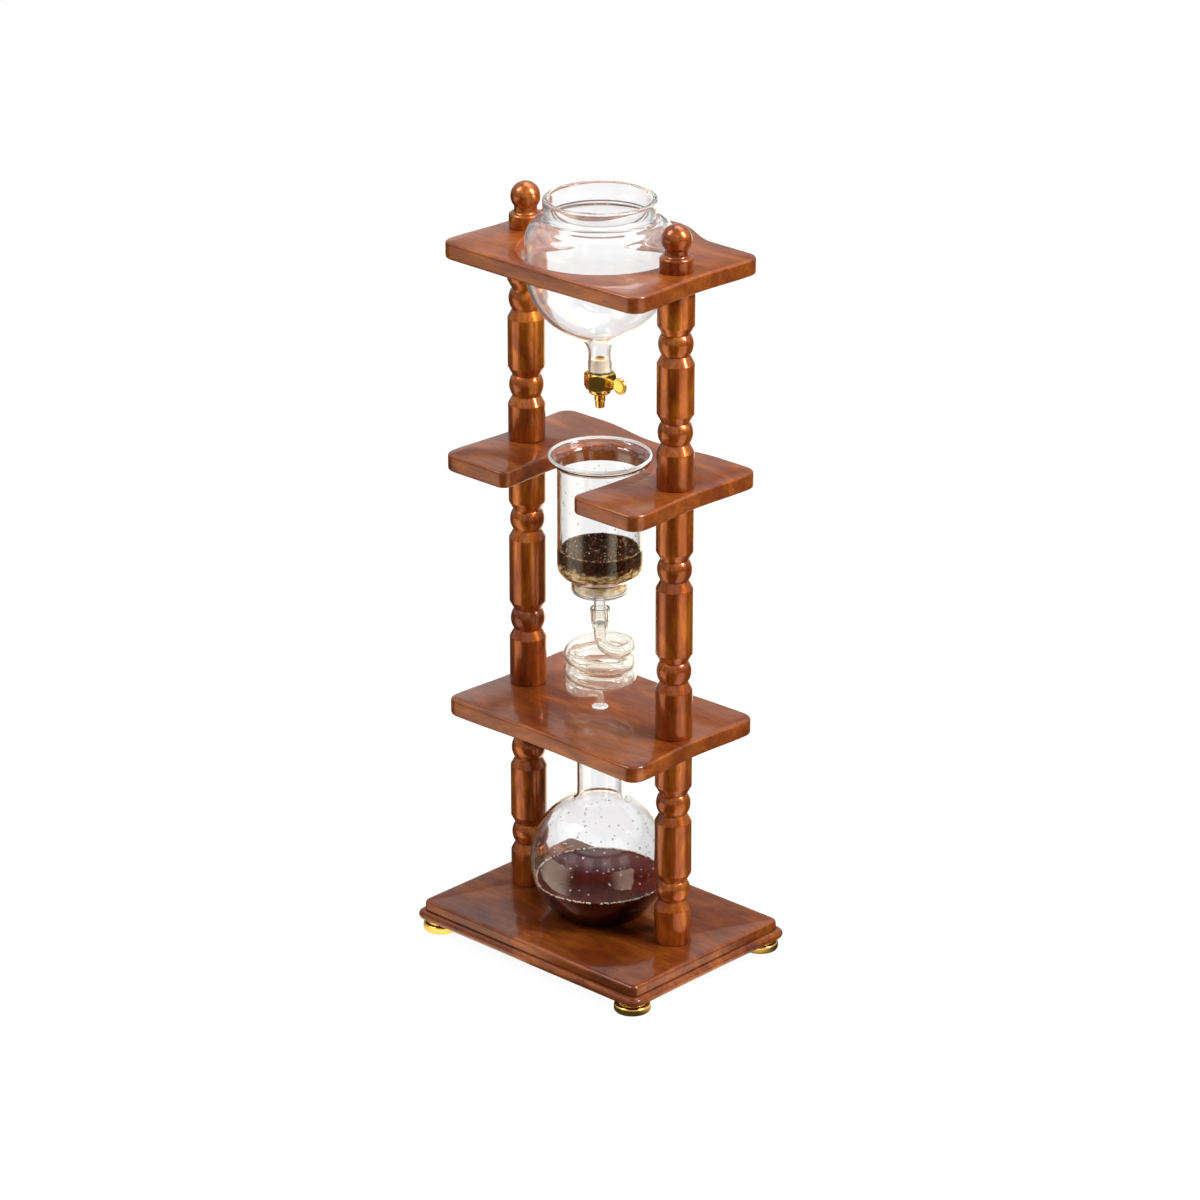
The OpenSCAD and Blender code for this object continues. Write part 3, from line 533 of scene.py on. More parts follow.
def add_piece(name, bm, body, slot, finish, replaced=(), crease=35, to=(0, 0, 0)):
    """Puts a bmesh in mm into the scene as a piece, at that place."""
    bmesh.ops.translate(bm, vec=to, verts=bm.verts)
    bmesh.ops.scale(bm, vec=(MM, MM, MM), verts=bm.verts)
    for face in bm.faces:
        face.smooth = True
    for edge in bm.edges:
        if edge.is_manifold and edge.calc_face_angle() > math.radians(crease):
            edge.smooth = False
    mesh = as_mesh(name, bm)
    piece = in_scene(name, mesh)
    mesh.materials.append(finish)
    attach(piece, body)
    if replaced:
        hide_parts(*replaced)
    print(f"{name}: {len(mesh.polygons)} faces")
    return piece


GLASSES = dict(globe=globe_glass, chamber=chamber_glass, coil=coil_glass, flask=flask_glass)


def add_glass(name, bm, body, replaced=(), finish=None):
    """A piece of glass, whose finish is chosen by its body unless one is given."""
    finish = finish or GLASSES[body]
    return add_piece(name, bm, body, f"{body}_glass", finish, replaced, crease=60)


def joined(bm, other):
    """Moves the faces of another bmesh into this one."""
    bm.from_mesh(as_mesh("part", other))
    return bm


def tipped(bm, axis):
    """Turned a quarter round that axis."""
    quarter = Matrix.Rotation(math.pi / 2, 3, axis)
    bmesh.ops.rotate(bm, cent=(0, 0, 0), matrix=quarter, verts=bm.verts)
    return bm


def height_of(node, end):
    """A node's low (0) or high (1) face, in mm."""
    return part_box(node)[end].z / MM


print("the pen is ready")


# %% [markdown]
# ## Boards with soft edges
# The model's boards are right in outline but their edges are sharp, and a
# sharp edge never catches the light. A copy of each board is merged, its
# flat triangles are joined, and the edges are rounded with a bevel. The thin
# bright line along each board in the photograph is the light on that bevel.


# %% Boards
BOARD_ROUND = 2.4
WIDEST_HOLE = 30  # mm: loops of edges up to this wide are bolt holes


def in_wide_loops(edges, least):
    """Those of the edges that lie in a loop wider than the least, such as an outline."""
    left, kept = set(edges), []
    while left:
        loop, ends = [], [left.pop()]
        while ends:
            edge = ends.pop()
            loop.append(edge)
            near = {e for v in edge.verts for e in v.link_edges} & left
            left -= near
            ends += near
        across = [v.co.x for e in loop for v in e.verts]
        if max(across) - min(across) > least:
            kept += loop
    return kept


def softened(node, radius, segments=4, sharper_than=40, least=0):
    """A copy of a node, in mm, with its sharp edges rounded, save in loops under the least."""
    bm = bmesh.new()
    bm.from_mesh(nodes[node].data)
    bmesh.ops.scale(bm, vec=(1 / MM, 1 / MM, 1 / MM), verts=bm.verts)
    bmesh.ops.remove_doubles(bm, verts=bm.verts, dist=0.01)
    bmesh.ops.dissolve_limit(
        bm, angle_limit=math.radians(1), verts=bm.verts, edges=bm.edges, delimit={"NORMAL"}
    )
    sharp = [
        e for e in bm.edges
        if e.is_manifold and e.calc_face_angle() > math.radians(sharper_than)
    ]
    bmesh.ops.bevel(
        bm,
        geom=in_wide_loops(sharp, least),
        offset=radius,
        offset_type="OFFSET",
        affect="EDGES",
        segments=segments,
        profile=0.5,
        material=-1,
        clamp_overlap=True,
    )
    return bm


for level in ("lower", "middle", "top"):
    board = softened(f"{level}_shelf", BOARD_ROUND, least=WIDEST_HOLE)
    add_piece(f"board_{level}", board, "stand", "board_wood", board_wood, [f"{level}_shelf"])

# %% [markdown]
# The base board has a moulded edge: a thick round lip, a narrow quirk and an
# upper tier. The moulding is a stack of rings, one for each point of its
# section. What the model's board has in common with that block is the
# finished board, bolt holes included.

# %% Base board
BASE_L, BASE_W, CORNER = 264.0, 196.0, 9.0
LIP_ROUND, TIER_ROUND = 4.3, 3.2


def on_round(radius, degrees):
    a = math.radians(degrees)
    return radius * math.sin(a), radius * math.cos(a)


# (height, step in from the lip) up the moulded edge
EDGE = []
for a in range(0, 171, 10):
    across, up = on_round(LIP_ROUND, a)
    EDGE.append((LIP_ROUND - up, LIP_ROUND - across))
EDGE += [(8.9, 4.6), (9.3, 4.9), (10.6, 5.0), (14.4, 5.3)]
for a in range(0, 91, 10):
    up, across = on_round(TIER_ROUND, a)
    EDGE.append((14.8 + up, 8.5 - across))


def ring_of(bm, inset, z, steps=8):
    """A closed loop of points round the board's outline, drawn in by inset."""
    corner = CORNER - 0.6 * inset
    points = []
    for turn, sx, sy in ((0, 1, 1), (90, -1, 1), (180, -1, -1), (270, 1, -1)):
        for i in range(steps + 1):
            a = math.radians(turn + 90 * i / steps)
            x = sx * (BASE_L / 2 - inset - corner) + corner * math.cos(a)
            y = sy * (BASE_W / 2 - inset - corner) + corner * math.sin(a)
            points.append(bm.verts.new((x, y, z)))
    return points


def moulded_board(low):
    bm = bmesh.new()
    rings = [ring_of(bm, inset, low + z) for z, inset in EDGE]
    for under, over in zip(rings, rings[1:]):
        for i in range(len(under)):
            bm.faces.new((under[i - 1], under[i], over[i], over[i - 1]))
    bm.faces.new(rings[0])
    bm.faces.new(rings[-1])
    bmesh.ops.recalc_face_normals(bm, faces=bm.faces)
    return bm


def in_common(bm, node):
    """The solid that a bmesh in mm shares with a node of the model."""
    bmesh.ops.scale(bm, vec=(MM, MM, MM), verts=bm.verts)
    mesh = bpy.data.meshes.new("block")
    bm.to_mesh(mesh)
    block = in_scene("block", mesh)
    shared = block.modifiers.new("shared", "BOOLEAN")
    shared.operation, shared.solver, shared.object = "INTERSECT", "EXACT", nodes[node]
    depsgraph = bpy.context.evaluated_depsgraph_get()
    result = bpy.data.meshes.new_from_object(block.evaluated_get(depsgraph))
    bpy.data.objects.remove(block)
    bm.clear()
    bm.from_mesh(result)
    bmesh.ops.scale(bm, vec=(1 / MM, 1 / MM, 1 / MM), verts=bm.verts)
    return bm


moulding = in_common(moulded_board(height_of("base_board", 0)), "base_board")
add_piece("board_base", moulding, "stand", "base_wood", base_wood, ["base_board"])

# %% [markdown]
# ## Turned columns
# Each column is a chain of spindles between the boards. A spindle has plain
# ends, two beads between grooves, and a plain middle. Its section is drawn
# from the end face up to the middle, and then the same strokes come back.

# %% Columns
COLUMN_R, GROOVE_R, BEAD_R = 16.0, 12.0, 15.0
SHOULDER, BEAD = 8.0, 18.5
END_ROUND, ARRIS = 1.2, 1.6
COLUMN_X = 86.0
NICK = 0.5  # softens the corners of a groove
# the bead is an arc through the bottoms of both grooves
BEAD_ARC = ((BEAD_R - GROOVE_R) ** 2 + (BEAD / 2) ** 2) / (BEAD_R - GROOVE_R) / 2
BEAD_TURN = math.degrees(math.asin(BEAD / 2 / BEAD_ARC))
SLOPE = 28


def spindle(bottom, top, end):
    """A spindle from bottom to top, whose plain ends are end long."""
    pen = Pen(0, bottom).line(COLUMN_R - END_ROUND, bottom)
    pen.bend((COLUMN_R, bottom), (COLUMN_R, bottom + END_ROUND), 4)
    for start in (bottom + end, top - end - 2 * SHOULDER - BEAD):
        groove = start + SHOULDER
        pen.line(COLUMN_R, start).arc(COLUMN_R - ARRIS, start, SLOPE, 5)
        pen.line(GROOVE_R + NICK / 2, groove - NICK).line(GROOVE_R, groove)
        pen.arc(BEAD_R - BEAD_ARC, groove + BEAD / 2, 2 * BEAD_TURN, 18)
        foot = groove + BEAD + SHOULDER
        pen.line(GROOVE_R + NICK / 2, groove + BEAD + NICK)
        slope = math.radians(SLOPE)
        pen.line(COLUMN_R - ARRIS + ARRIS * math.cos(slope), foot - ARRIS * math.sin(slope))
        pen.arc(COLUMN_R - ARRIS, foot, SLOPE, 5)
    pen.line(COLUMN_R, top - END_ROUND).bend((COLUMN_R, top), (COLUMN_R - END_ROUND, top), 4)
    return pen.line(0, top).turned(112)


LEVELS = [
    ("lower", height_of("base_board", 1), height_of("lower_shelf", 0), 31),
    ("middle", height_of("lower_shelf", 1), height_of("middle_shelf", 0), 42),
    ("upper", height_of("middle_shelf", 1), height_of("top_shelf", 0), 31),
]

def add_turned(name, bm, node, x):
    add_piece(name, bm, "stand", "turned_wood", turned_wood, [node], to=(x, 0, 0))


SIDES = (("left", -COLUMN_X), ("right", COLUMN_X))
for side, x in SIDES:
    for level, low, high, plain in LEVELS:
        made = spindle(low, high, plain)
        add_turned(f"turning_{side}_{level}", made, f"{side}_{level}_spindle", x)

# %% [markdown]
# A ball finial tops each column. It sits on a round collar, and the ball
# starts where its outline is as wide as the neck below it.

# %% Finials
BALL_R, NECK_R, COLLAR_R, COLLAR_H = 12.8, 9.8, 14.3, 13.0


def finial(bottom):
    ball = bottom + COLLAR_H + 14
    start = math.acos(NECK_R / BALL_R)
    pen = Pen(0, bottom).line(COLLAR_R - 1, bottom)
    pen.bend((COLLAR_R, bottom), (COLLAR_R, bottom + 1), 4)
    pen.line(COLLAR_R, bottom + COLLAR_H - 3)
    pen.bend((COLLAR_R, bottom + COLLAR_H), (NECK_R + 1, bottom + COLLAR_H), 8)
    neck_top = ball - BALL_R * math.sin(start)
    pen.bend((NECK_R - 0.4, bottom + COLLAR_H + 0.6), (NECK_R, neck_top), 5)
    pen.arc(0, ball, math.degrees(start) + 90, 28)
    return pen.turned(72)


for side, x in SIDES:
    add_turned(f"ball_{side}", finial(height_of("top_shelf", 1)), f"{side}_finial", x)

# %% [markdown]
# ## Feet
# The feet are turned brass discs with round edges. All four are alike, so
# they are one mesh: the first is copied to the other corners.

# %% Feet
FOOT_R, FOOT_H = 15.8, 10.0
FOOT_X, FOOT_Y = 115.0, 82.0
FOOT_NECK, PAD_HOLE = 12.0, 12.6


def foot():
    pen = Pen(PAD_HOLE, 0.5).line(FOOT_R - 1.8, 0.5).bend((FOOT_R, 0.5), (FOOT_R, 2.6), 6)
    pen.line(FOOT_R, 5.4).bend((FOOT_R, 7.4), (FOOT_R - 2.2, 7.4), 6)
    pen.line(FOOT_NECK + 0.6, 7.5).bend((FOOT_NECK, 7.6), (FOOT_NECK, 8.2), 3)
    pen.line(FOOT_NECK, FOOT_H).line(0, FOOT_H).line(0, 2.4).line(PAD_HOLE - 0.2, 2.4)
    return pen.turned(72, closed=True)


feet = foot()
one_foot = feet.verts[:] + feet.edges[:] + feet.faces[:]
for x, y in ((2 * FOOT_X, 0), (0, 2 * FOOT_Y), (2 * FOOT_X, 2 * FOOT_Y)):
    copy = bmesh.ops.duplicate(feet, geom=one_foot)["geom"]
    corners = [g for g in copy if isinstance(g, bmesh.types.BMVert)]
    bmesh.ops.translate(feet, vec=(x, y, 0), verts=corners)
BRASS = ("polished_brass", polished_brass)
add_piece("brass_feet", feet, "stand", *BRASS, ["feet"], to=(-FOOT_X, -FOOT_Y, 0))

# %% [markdown]
# ## The water globe
# The globe is blown glass with a wide neck. Its section goes up the outside,
# over the thick rim, and down the inside. Near the shelf it has a bead,
# which rests on a ledge in the hole.

# %% Water globe
SHELF_TOP = height_of("top_shelf", 1)
GLOBE_R, GLOBE_Z = 63.2, SHELF_TOP - 16
RIM_Z = height_of("water_globe", 1)
STEM_END = height_of("water_globe", 0)
STEM_R, GLOBE_WALL = 10.3, 2.6
FLARE_R = 24.0
FLARE_Z = GLOBE_Z - math.sqrt(GLOBE_R**2 - FLARE_R**2)
STEM_TOP = FLARE_Z - 16.5
RING_Z = RIM_Z - 18
NECK = 48.0
GLOBE_BEAD = 66.5


def water_globe():
    ring, rim, end = RING_Z, RIM_Z, STEM_END
    inside, bore = GLOBE_R - GLOBE_WALL, STEM_R - GLOBE_WALL
    dip = math.degrees(math.acos(FLARE_R / GLOBE_R))
    bead = SHELF_TOP - 9.5
    slope = math.degrees(math.asin((bead - GLOBE_Z) / GLOBE_R))
    pen = Pen(bore, end + 0.6)
    pen.bend((bore, end), (STEM_R - 1.2, end), 3)
    pen.bend((STEM_R, end), (STEM_R, end + 1.2), 3)
    pen.line(STEM_R, STEM_TOP).bend((STEM_R + 1.4, FLARE_Z - 5), (FLARE_R, FLARE_Z), 14)
    pen.arc(0, GLOBE_Z, dip + slope, 40)
    # the bead
    pen.line(GLOBE_BEAD - 1.1, bead).bend((GLOBE_BEAD, bead), (GLOBE_BEAD, bead + 1.2), 3)
    pen.line(GLOBE_BEAD, bead + 2.3)
    pen.bend((GLOBE_BEAD, bead + 3.5), (GLOBE_BEAD - 1.1, bead + 3.5), 3)
    pen.line(63.3, bead + 3.9)
    pen.line(GLOBE_R, GLOBE_Z + 21)
    # over the shoulder to the ring and the neck
    pen.bend((GLOBE_R, ring - 5.5), (52.5, ring - 2.6), 14)
    pen.bend((50.8, ring - 2.0), (50.4, ring - 0.8), 4)
    pen.bend((49.8, ring + 0.8), (NECK - 0.6, ring + 1.6), 4)
    pen.line(NECK - 0.8, ring + 5.6).bend((NECK - 0.4, ring + 6.6), (NECK, ring + 7.4), 4)
    pen.line(NECK, rim - 2.4).bend((NECK, rim), (NECK - 2.4, rim), 8)
    pen.bend((NECK - 5.2, rim), (NECK - 5.2, rim - 2.4), 8)
    pen.line(NECK - 5.2, ring + 8).bend((NECK - 5.0, ring + 6), (NECK - 3.6, ring + 4), 5)
    pen.bend((NECK - 2.0, ring + 0.5), (49.4, ring - 4.2), 6)
    pen.bend((inside, ring - 8.5), (inside, GLOBE_Z + 20), 14)
    pen.line(inside, GLOBE_Z)
    inner = math.degrees(math.acos((FLARE_R - 1) / inside))
    pen.arc(0, GLOBE_Z, -inner, 40)
    pen.bend((STEM_R + 1.4 - GLOBE_WALL, FLARE_Z - 3), (bore, STEM_TOP), 14)
    return pen.turned(128, closed=True)


add_glass("glass_globe", water_globe(), "globe", ["water_globe"])

# %% [markdown]
# ## The drip tap
# The tap is machined from hexagonal brass bar. The model's hexagon has the
# right chamfers, so its copy only gets softer edges. The nozzle is turned:
# a collar, a ring and a round tip. The key is a spindle with a dished disc
# that a thumb and finger turn.

# %% Drip tap
HEX_BOTTOM = height_of("tap_body", 0)
NOZZLE_END = height_of("tap_nozzle", 0)
KEY_Z = (height_of("tap_key", 0) + height_of("tap_key", 1)) / 2
PADDLE_X, PADDLE_R, KEY_R = 22.5, 7.2, 2.2
TAP_BORE, SPIGOT_R, NOZZLE_R = 1.6, 5.5, 4.8


def nozzle():
    end, bar = NOZZLE_END, HEX_BOTTOM
    pen = Pen(TAP_BORE, end + 0.3).line(2.0, end).line(2.6, end)
    pen.bend((4.0, end), (4.1, end + 1.8), 5).line(4.1, end + 5.6)
    pen.bend((4.1, end + 6.4), (NOZZLE_R, end + 6.6), 3)
    pen.line(NOZZLE_R, bar - 5.2)
    pen.bend((NOZZLE_R, bar - 4.6), (6.6, bar - 4.6), 4)
    pen.bend((9.4, bar - 4.2), (9.7, bar - 1.8), 6).line(9.7, bar - 0.2)
    pen.line(9.3, bar + 0.1).line(SPIGOT_R, bar + 0.1)
    pen.line(SPIGOT_R, bar + 3.6).line(TAP_BORE, bar + 3.6)
    return pen.turned(64, closed=True)


def tap_key():
    """The disc and the spindle are turned, and then laid along X."""
    r = PADDLE_R
    pen = Pen(0, -1.1).bend((r - 2.4, -0.7), (r - 1.0, -1.4), 8)
    pen.bend((r, -1.4), (r, -0.2), 4).line(r, 0.2).bend((r, 1.4), (r - 1.0, 1.4), 4)
    pen.bend((r - 2.4, 0.7), (0, 1.1), 8)
    disc = tipped(pen.turned(72), "X")
    bmesh.ops.translate(disc, vec=(PADDLE_X, 0, 0), verts=disc.verts)
    shaft = Pen(0, -3.7).line(KEY_R - 0.3, -3.7).bend((KEY_R, -3.7), (KEY_R, -3.4), 2)
    shaft.line(KEY_R, 13.2).line(2.6, 13.3).bend((3.4, 13.3), (3.4, 13.9), 3).line(3.4, 14.6)
    shaft.bend((KEY_R, 15.0), (KEY_R, 15.6), 4).bend((KEY_R, 16.4), (2.6, 16.6), 3)
    stalk = tipped(shaft.line(0, 16.7).turned(48), "Y")
    return joined(stalk, disc)


hexagon = softened("tap_body", 0.35, segments=3, sharper_than=20)
add_piece("hexagon_body", hexagon, "globe", *BRASS, ["tap_body"], crease=28)
add_piece("drip_nozzle", nozzle(), "globe", *BRASS, ["tap_nozzle"])
add_piece("thumb_key", tap_key(), "key", *BRASS, ["tap_key"], to=(0, 0, KEY_Z))

# %% [markdown]
# ## The brew chamber
# The chamber is a straight tube of glass with a rolled rim, a round
# shoulder, a narrow step that holds the filter, and a stem. Its outside is
# drawn from the stem up and its inside from the rim down.

# %% Brew chamber
SEAT = height_of("middle_shelf", 1)
CHAMBER_TOP = height_of("brew_chamber", 1)
CHAMBER_END = height_of("brew_chamber", 0)
CHAMBER_R, CHAMBER_WALL = 36.7, 2.4
STEP_R = 24.8
FLOOR_Z = CHAMBER_END + 24
STEP_Z = FLOOR_Z + 14
SHOULDER_Z = STEP_Z + 14
TUBE_R, TUBE_BORE = 5.6, 3.8
RIM_R = 44.2
LIP_R, LIP_THICK = 43.05, 1.25  # the ring down the middle of the lip
LIP_Z = CHAMBER_TOP - 1.2


def brew_chamber():
    end, top, low, i = CHAMBER_END, CHAMBER_TOP, FLOOR_Z, CHAMBER_WALL
    bore, narrow = CHAMBER_R - i, STEP_R - i
    pen = Pen(TUBE_BORE, end + 0.5).bend((TUBE_BORE, end), (4.6, end), 3)
    pen.bend((TUBE_R, end), (TUBE_R, end + 1), 3).line(TUBE_R, low - 1.6)
    pen.bend((TUBE_R, low), (TUBE_R + 1.8, low), 4)
    pen.line(STEP_R - 5, low).bend((STEP_R, low), (STEP_R, low + 5), 8)
    pen.line(STEP_R, STEP_Z - 2).bend((STEP_R, STEP_Z), (STEP_R + 1.6, STEP_Z + 0.6), 5)
    pen.bend((CHAMBER_R, STEP_Z + 2.6), (CHAMBER_R, SHOULDER_Z), 14)
    # the rim is a trumpet: out over the shelf, round its lip and back
    pen.line(CHAMBER_R, SEAT - 5).bend((CHAMBER_R, SEAT - 1), (40.8, SEAT + 0.5), 8)
    pen.bend((43.8, SEAT + 1.6), (RIM_R, SEAT + 5.0), 8)
    pen.bend((RIM_R, top), (43.1, top), 5)
    pen.bend((42.1, top), (41.9, top - 1.6), 5)
    pen.bend((41.4, SEAT + 3.6), (38.8, SEAT + 2.2), 8)
    pen.bend((bore, SEAT - 0.2), (bore, SEAT - 5), 8)
    pen.line(bore, SHOULDER_Z)
    pen.bend((bore, STEP_Z + 4.2), (narrow + 1.4, STEP_Z + 1.8), 14)
    pen.bend((narrow, STEP_Z + 1), (narrow, STEP_Z - 1), 4)
    pen.line(narrow, low + i + 3)
    pen.bend((narrow, low + i), (narrow - 3, low + i), 6)
    pen.line(TUBE_BORE + 1, low + i)
    pen.bend((TUBE_BORE, low + i), (TUBE_BORE, low + i - 1), 3)
    return pen.turned(128, closed=True)


add_glass("glass_chamber", brew_chamber(), "chamber", ["brew_chamber"])
# a ring of hazy glass inside the fire-polished lip is a painted shine: it makes the lip a bright
# ring
lip = Pen(LIP_R + LIP_THICK, LIP_Z).arc(LIP_R, LIP_Z, 345, 15).turned(128, closed=True)
add_glass("chamber_lip_shine", lip, "chamber", finish=lip_painted_shine)

# %% [markdown]
# The grounds fill the shoulder of the chamber. Their side touches the glass,
# and their top is raised into crumbs and lumps by Blender's own noise, which
# is the same on every run. Froth gathers on them, mostly at the wall.

# %% Bed of grounds
BED_TOP = height_of("coffee_bed", 1)
BED_LOW = height_of("coffee_bed", 0)
BED_RINGS = 40
random.seed(7)


def grounds_height(place):
    """How high the loose, lumpy top of the grounds is at a place."""
    flat = Vector((place.x, place.y, 0))
    inside = min(1.0, (CHAMBER_R - CHAMBER_WALL - flat.length) / 2)
    crumb = noise.fractal(flat * 0.42, 0.6, 2.0, 4)
    heap = noise.noise(flat * 0.12 + Vector((3, 1, 0)))
    return BED_TOP - 0.6 + inside * max(-3.0, min(1.6, 2.4 * crumb + 3.0 * heap - 0.4))


def coffee_bed():
    i = CHAMBER_WALL - 0.15
    pen = Pen(0, BED_LOW + 4).line(STEP_R - i - 3, BED_LOW + 4)
    pen.line(STEP_R - i + 1.2, STEP_Z + 2.0)
    pen.bend((CHAMBER_R - i, STEP_Z + 4.4), (CHAMBER_R - i, SHOULDER_Z), 12)
    pen.line(CHAMBER_R - i, BED_TOP - 1.4)
    for ring in range(1, BED_RINGS + 1):
        pen.line((CHAMBER_R - i) * (1 - ring / BED_RINGS), BED_TOP - 1.4)
    bm = pen.turned(150)
    for vert in bm.verts:
        if vert.co.z > BED_TOP - 1.5:
            vert.co.z = grounds_height(vert.co)
    return bm


bed = coffee_bed()
add_piece("grounds", bed, "chamber", "ground_coffee", wet_grounds, ["coffee_bed"], crease=80)

# %% Froth and drops


def scatter(name, count, size, spot, body, slot, finish, squash=1.0):
    """Small beads of water or foam, each placed by spot(), in one mesh."""
    bm = bmesh.new()
    for _ in range(count):
        place, out = spot()
        radius = random.uniform(*size)
        made = bmesh.ops.create_icosphere(bm, subdivisions=1, radius=radius)["verts"]
        bmesh.ops.scale(bm, vec=(1, 1, squash), verts=made)
        turn = out.to_track_quat("Z", "Y").to_matrix()
        bmesh.ops.rotate(bm, cent=(0, 0, 0), matrix=turn, verts=made)
        bmesh.ops.translate(bm, vec=place, verts=made)
    return add_piece(name, bm, body, slot, finish, crease=80)


def round_spot(radius, z):
    """A random place at that radius and height, and the way out of it."""
    a = random.uniform(0, math.tau)
    out = Vector((math.cos(a), math.sin(a), 0))
    return out * radius + Vector((0, 0, z)), out


AT_THE_WALL = 0.55  # of all the froth


def foam_spot():
    edge = CHAMBER_R - CHAMBER_WALL
    if random.random() < AT_THE_WALL:
        radius = edge - random.uniform(0.5, 1.6)
    else:
        radius = edge * math.sqrt(random.random()) * 0.95
    place, _ = round_spot(radius, 0)
    place.z = grounds_height(place) + random.uniform(0.0, 0.5)
    return place, Vector((0, 0, 1))


def chamber_drop_spot():
    return round_spot(CHAMBER_R - CHAMBER_WALL - 0.1, random.uniform(BED_TOP + 4, SEAT - 6))


scatter("foam", 270, (0.4, 0.9), foam_spot, "chamber", "ground_coffee", golden_foam)
size = (0.5, 1.1)
scatter("chamber_drops", 70, size, chamber_drop_spot, "chamber", "chamber_glass", water, squash=0.5)

# %% [markdown]
# ## The glass coil
# The coil is one tube of glass: down from its socket, round two and a half
# turns, and back to the middle. A curve follows that path, and its bevel
# makes the tube. A second, thinner tube along the same curve is the bore.
# The rings at both ends are joined by a bridge, so the wall is closed.

# %% Glass coil
SHELF_TWO = height_of("lower_shelf", 1)
COIL_R, COIL_TUBE_R = 25.7, 5.7
PITCH, TURNS = 14.6, 2.61
COIL_LOW = SHELF_TWO + 21
COIL_HIGH = COIL_LOW + PITCH * TURNS
END_ANGLE = math.radians(230)
START_ANGLE = END_ANGLE - math.tau * TURNS
TUBE_SEAT = CHAMBER_END - 3.5
OUTLET_R, FLANGE_R = 3.7, 7
COIL_WALL = 1.5
BEND_STEPS = 20


def on_coil(angle, z):
    return Vector((COIL_R * math.cos(angle), COIL_R * math.sin(angle), z))


def along_coil(angle):
    return Vector((-math.sin(angle), math.cos(angle), -PITCH / (math.tau * COIL_R)))


def coil_path():
    """Points down the middle of the tube, and its radius at each."""
    top = Vector((0, 0, TUBE_SEAT - 2 * COIL_TUBE_R))
    first, last = on_coil(START_ANGLE, COIL_HIGH), on_coil(END_ANGLE, COIL_LOW)
    out = Vector((0, 0, SHELF_TWO + 8.9))
    points = [Vector((0, 0, TUBE_SEAT - down)) for down in (0.4, 4, 8)]
    into = first - 24 * along_coil(START_ANGLE)
    points += interpolate_bezier(top, top - Vector((0, 0, 9)), into, first, BEND_STEPS - 1)[:-1]
    steps = round(48 * TURNS)
    for k in range(steps + 1):
        gone = TURNS * k / steps
        points.append(on_coil(START_ANGLE + math.tau * gone, COIL_HIGH - PITCH * gone))
    away = last + 22 * along_coil(END_ANGLE)
    bend = interpolate_bezier(last, away, out + Vector((0, 0, 11)), out, BEND_STEPS + 1)[1:]
    radii = [COIL_TUBE_R] * len(points)
    for k in range(len(bend)):
        # the tube narrows smoothly as it bends down to the outlet
        share = min(1.0, (k + 1) / 16)
        radii.append(COIL_TUBE_R + (OUTLET_R - COIL_TUBE_R) * share * share * (3 - 2 * share))
    points += bend + [Vector((0, 0, SHELF_TWO + up)) for up in (6, 3, 1.4)]
    return points, radii + [OUTLET_R] * 3


def tube_along(points, radii, thinner):
    """An open tube along the points, as a bmesh."""
    curve = bpy.data.curves.new("tube", "CURVE")
    curve.dimensions = "3D"
    curve.bevel_depth = 1.0
    curve.bevel_resolution = 4
    curve.twist_mode = "MINIMUM"
    spline = curve.splines.new("POLY")
    spline.points.add(len(points) - 1)
    for knot, point, radius in zip(spline.points, points, radii):
        knot.co = (*point, 1)
        knot.radius = radius - thinner
    holder = in_scene("tube", curve)
    bpy.context.view_layer.update()
    depsgraph = bpy.context.evaluated_depsgraph_get()
    mesh = bpy.data.meshes.new_from_object(holder.evaluated_get(depsgraph))
    bpy.data.objects.remove(holder)
    bm = bmesh.new()
    bm.from_mesh(mesh)
    bmesh.ops.remove_doubles(bm, verts=bm.verts, dist=0.001)
    return bm


def glass_coil():
    points, radii = coil_path()
    bm = joined(tube_along(points, radii, 0), tube_along(points, radii, COIL_WALL))
    rims = [e for e in bm.edges if e.is_boundary]
    for low in (True, False):
        ends = [e for e in rims if (e.verts[0].co.z < SHELF_TWO + 10) == low]
        bmesh.ops.bridge_loops(bm, edges=ends)
    bmesh.ops.recalc_face_normals(bm, faces=bm.faces)
    return bm


def outlet_flange():
    z = SHELF_TWO
    pen = Pen(OUTLET_R - 0.6, z + 1.9).line(OUTLET_R + 0.4, z + 1.9)
    pen.bend((OUTLET_R + 0.6, z + 1.5), (5.8, z + 1.5), 4)
    pen.bend((FLANGE_R, z + 1.5), (FLANGE_R, z + 0.8), 4)
    pen.bend((FLANGE_R, z + 0.1), (5.8, z + 0.1), 4)
    pen.line(OUTLET_R - 0.6, z + 0.1)
    return pen.turned(64, closed=True)


add_glass("glass_spiral", glass_coil(), "coil", ["spiral_coil"])
# the flange's hazy glass is a white ring that stands in for its shine: a painted highlight
add_glass("outlet_flange", outlet_flange(), "coil", ["spiral_coil"], lip_painted_shine)

# %% [markdown]
# The coil's upper end is a wide socket that takes the chamber's stem. It
# narrows to the tube in a smooth cone.

# %% Socket of the coil
SOCKET_TOP = height_of("coil_socket", 1)
SOCKET_END = SOCKET_TOP - 20
SOCKET_R = 8.5


def socket():
    top = SOCKET_TOP
    bore = TUBE_R + 0.7
    pen = Pen(COIL_TUBE_R - 0.2, SOCKET_END + 1).line(6.6, SOCKET_END + 1)
    pen.bend((8.1, SOCKET_END + 9), (SOCKET_R, SOCKET_END + 14), 8)
    pen.line(SOCKET_R, top - 1.1).bend((SOCKET_R, top), (7.4, top), 4)
    pen.bend((bore, top), (bore, top - 1.1), 4)
    pen.line(bore, CHAMBER_END - 1.2).bend((bore, CHAMBER_END - 2.4), (4.2, CHAMBER_END - 2.6), 4)
    pen.line(4.2, TUBE_SEAT - 1).line(COIL_TUBE_R - 0.2, TUBE_SEAT - 1)
    return pen.turned(64, closed=True)


add_glass("glass_socket", socket(), "coil", ["coil_socket"])

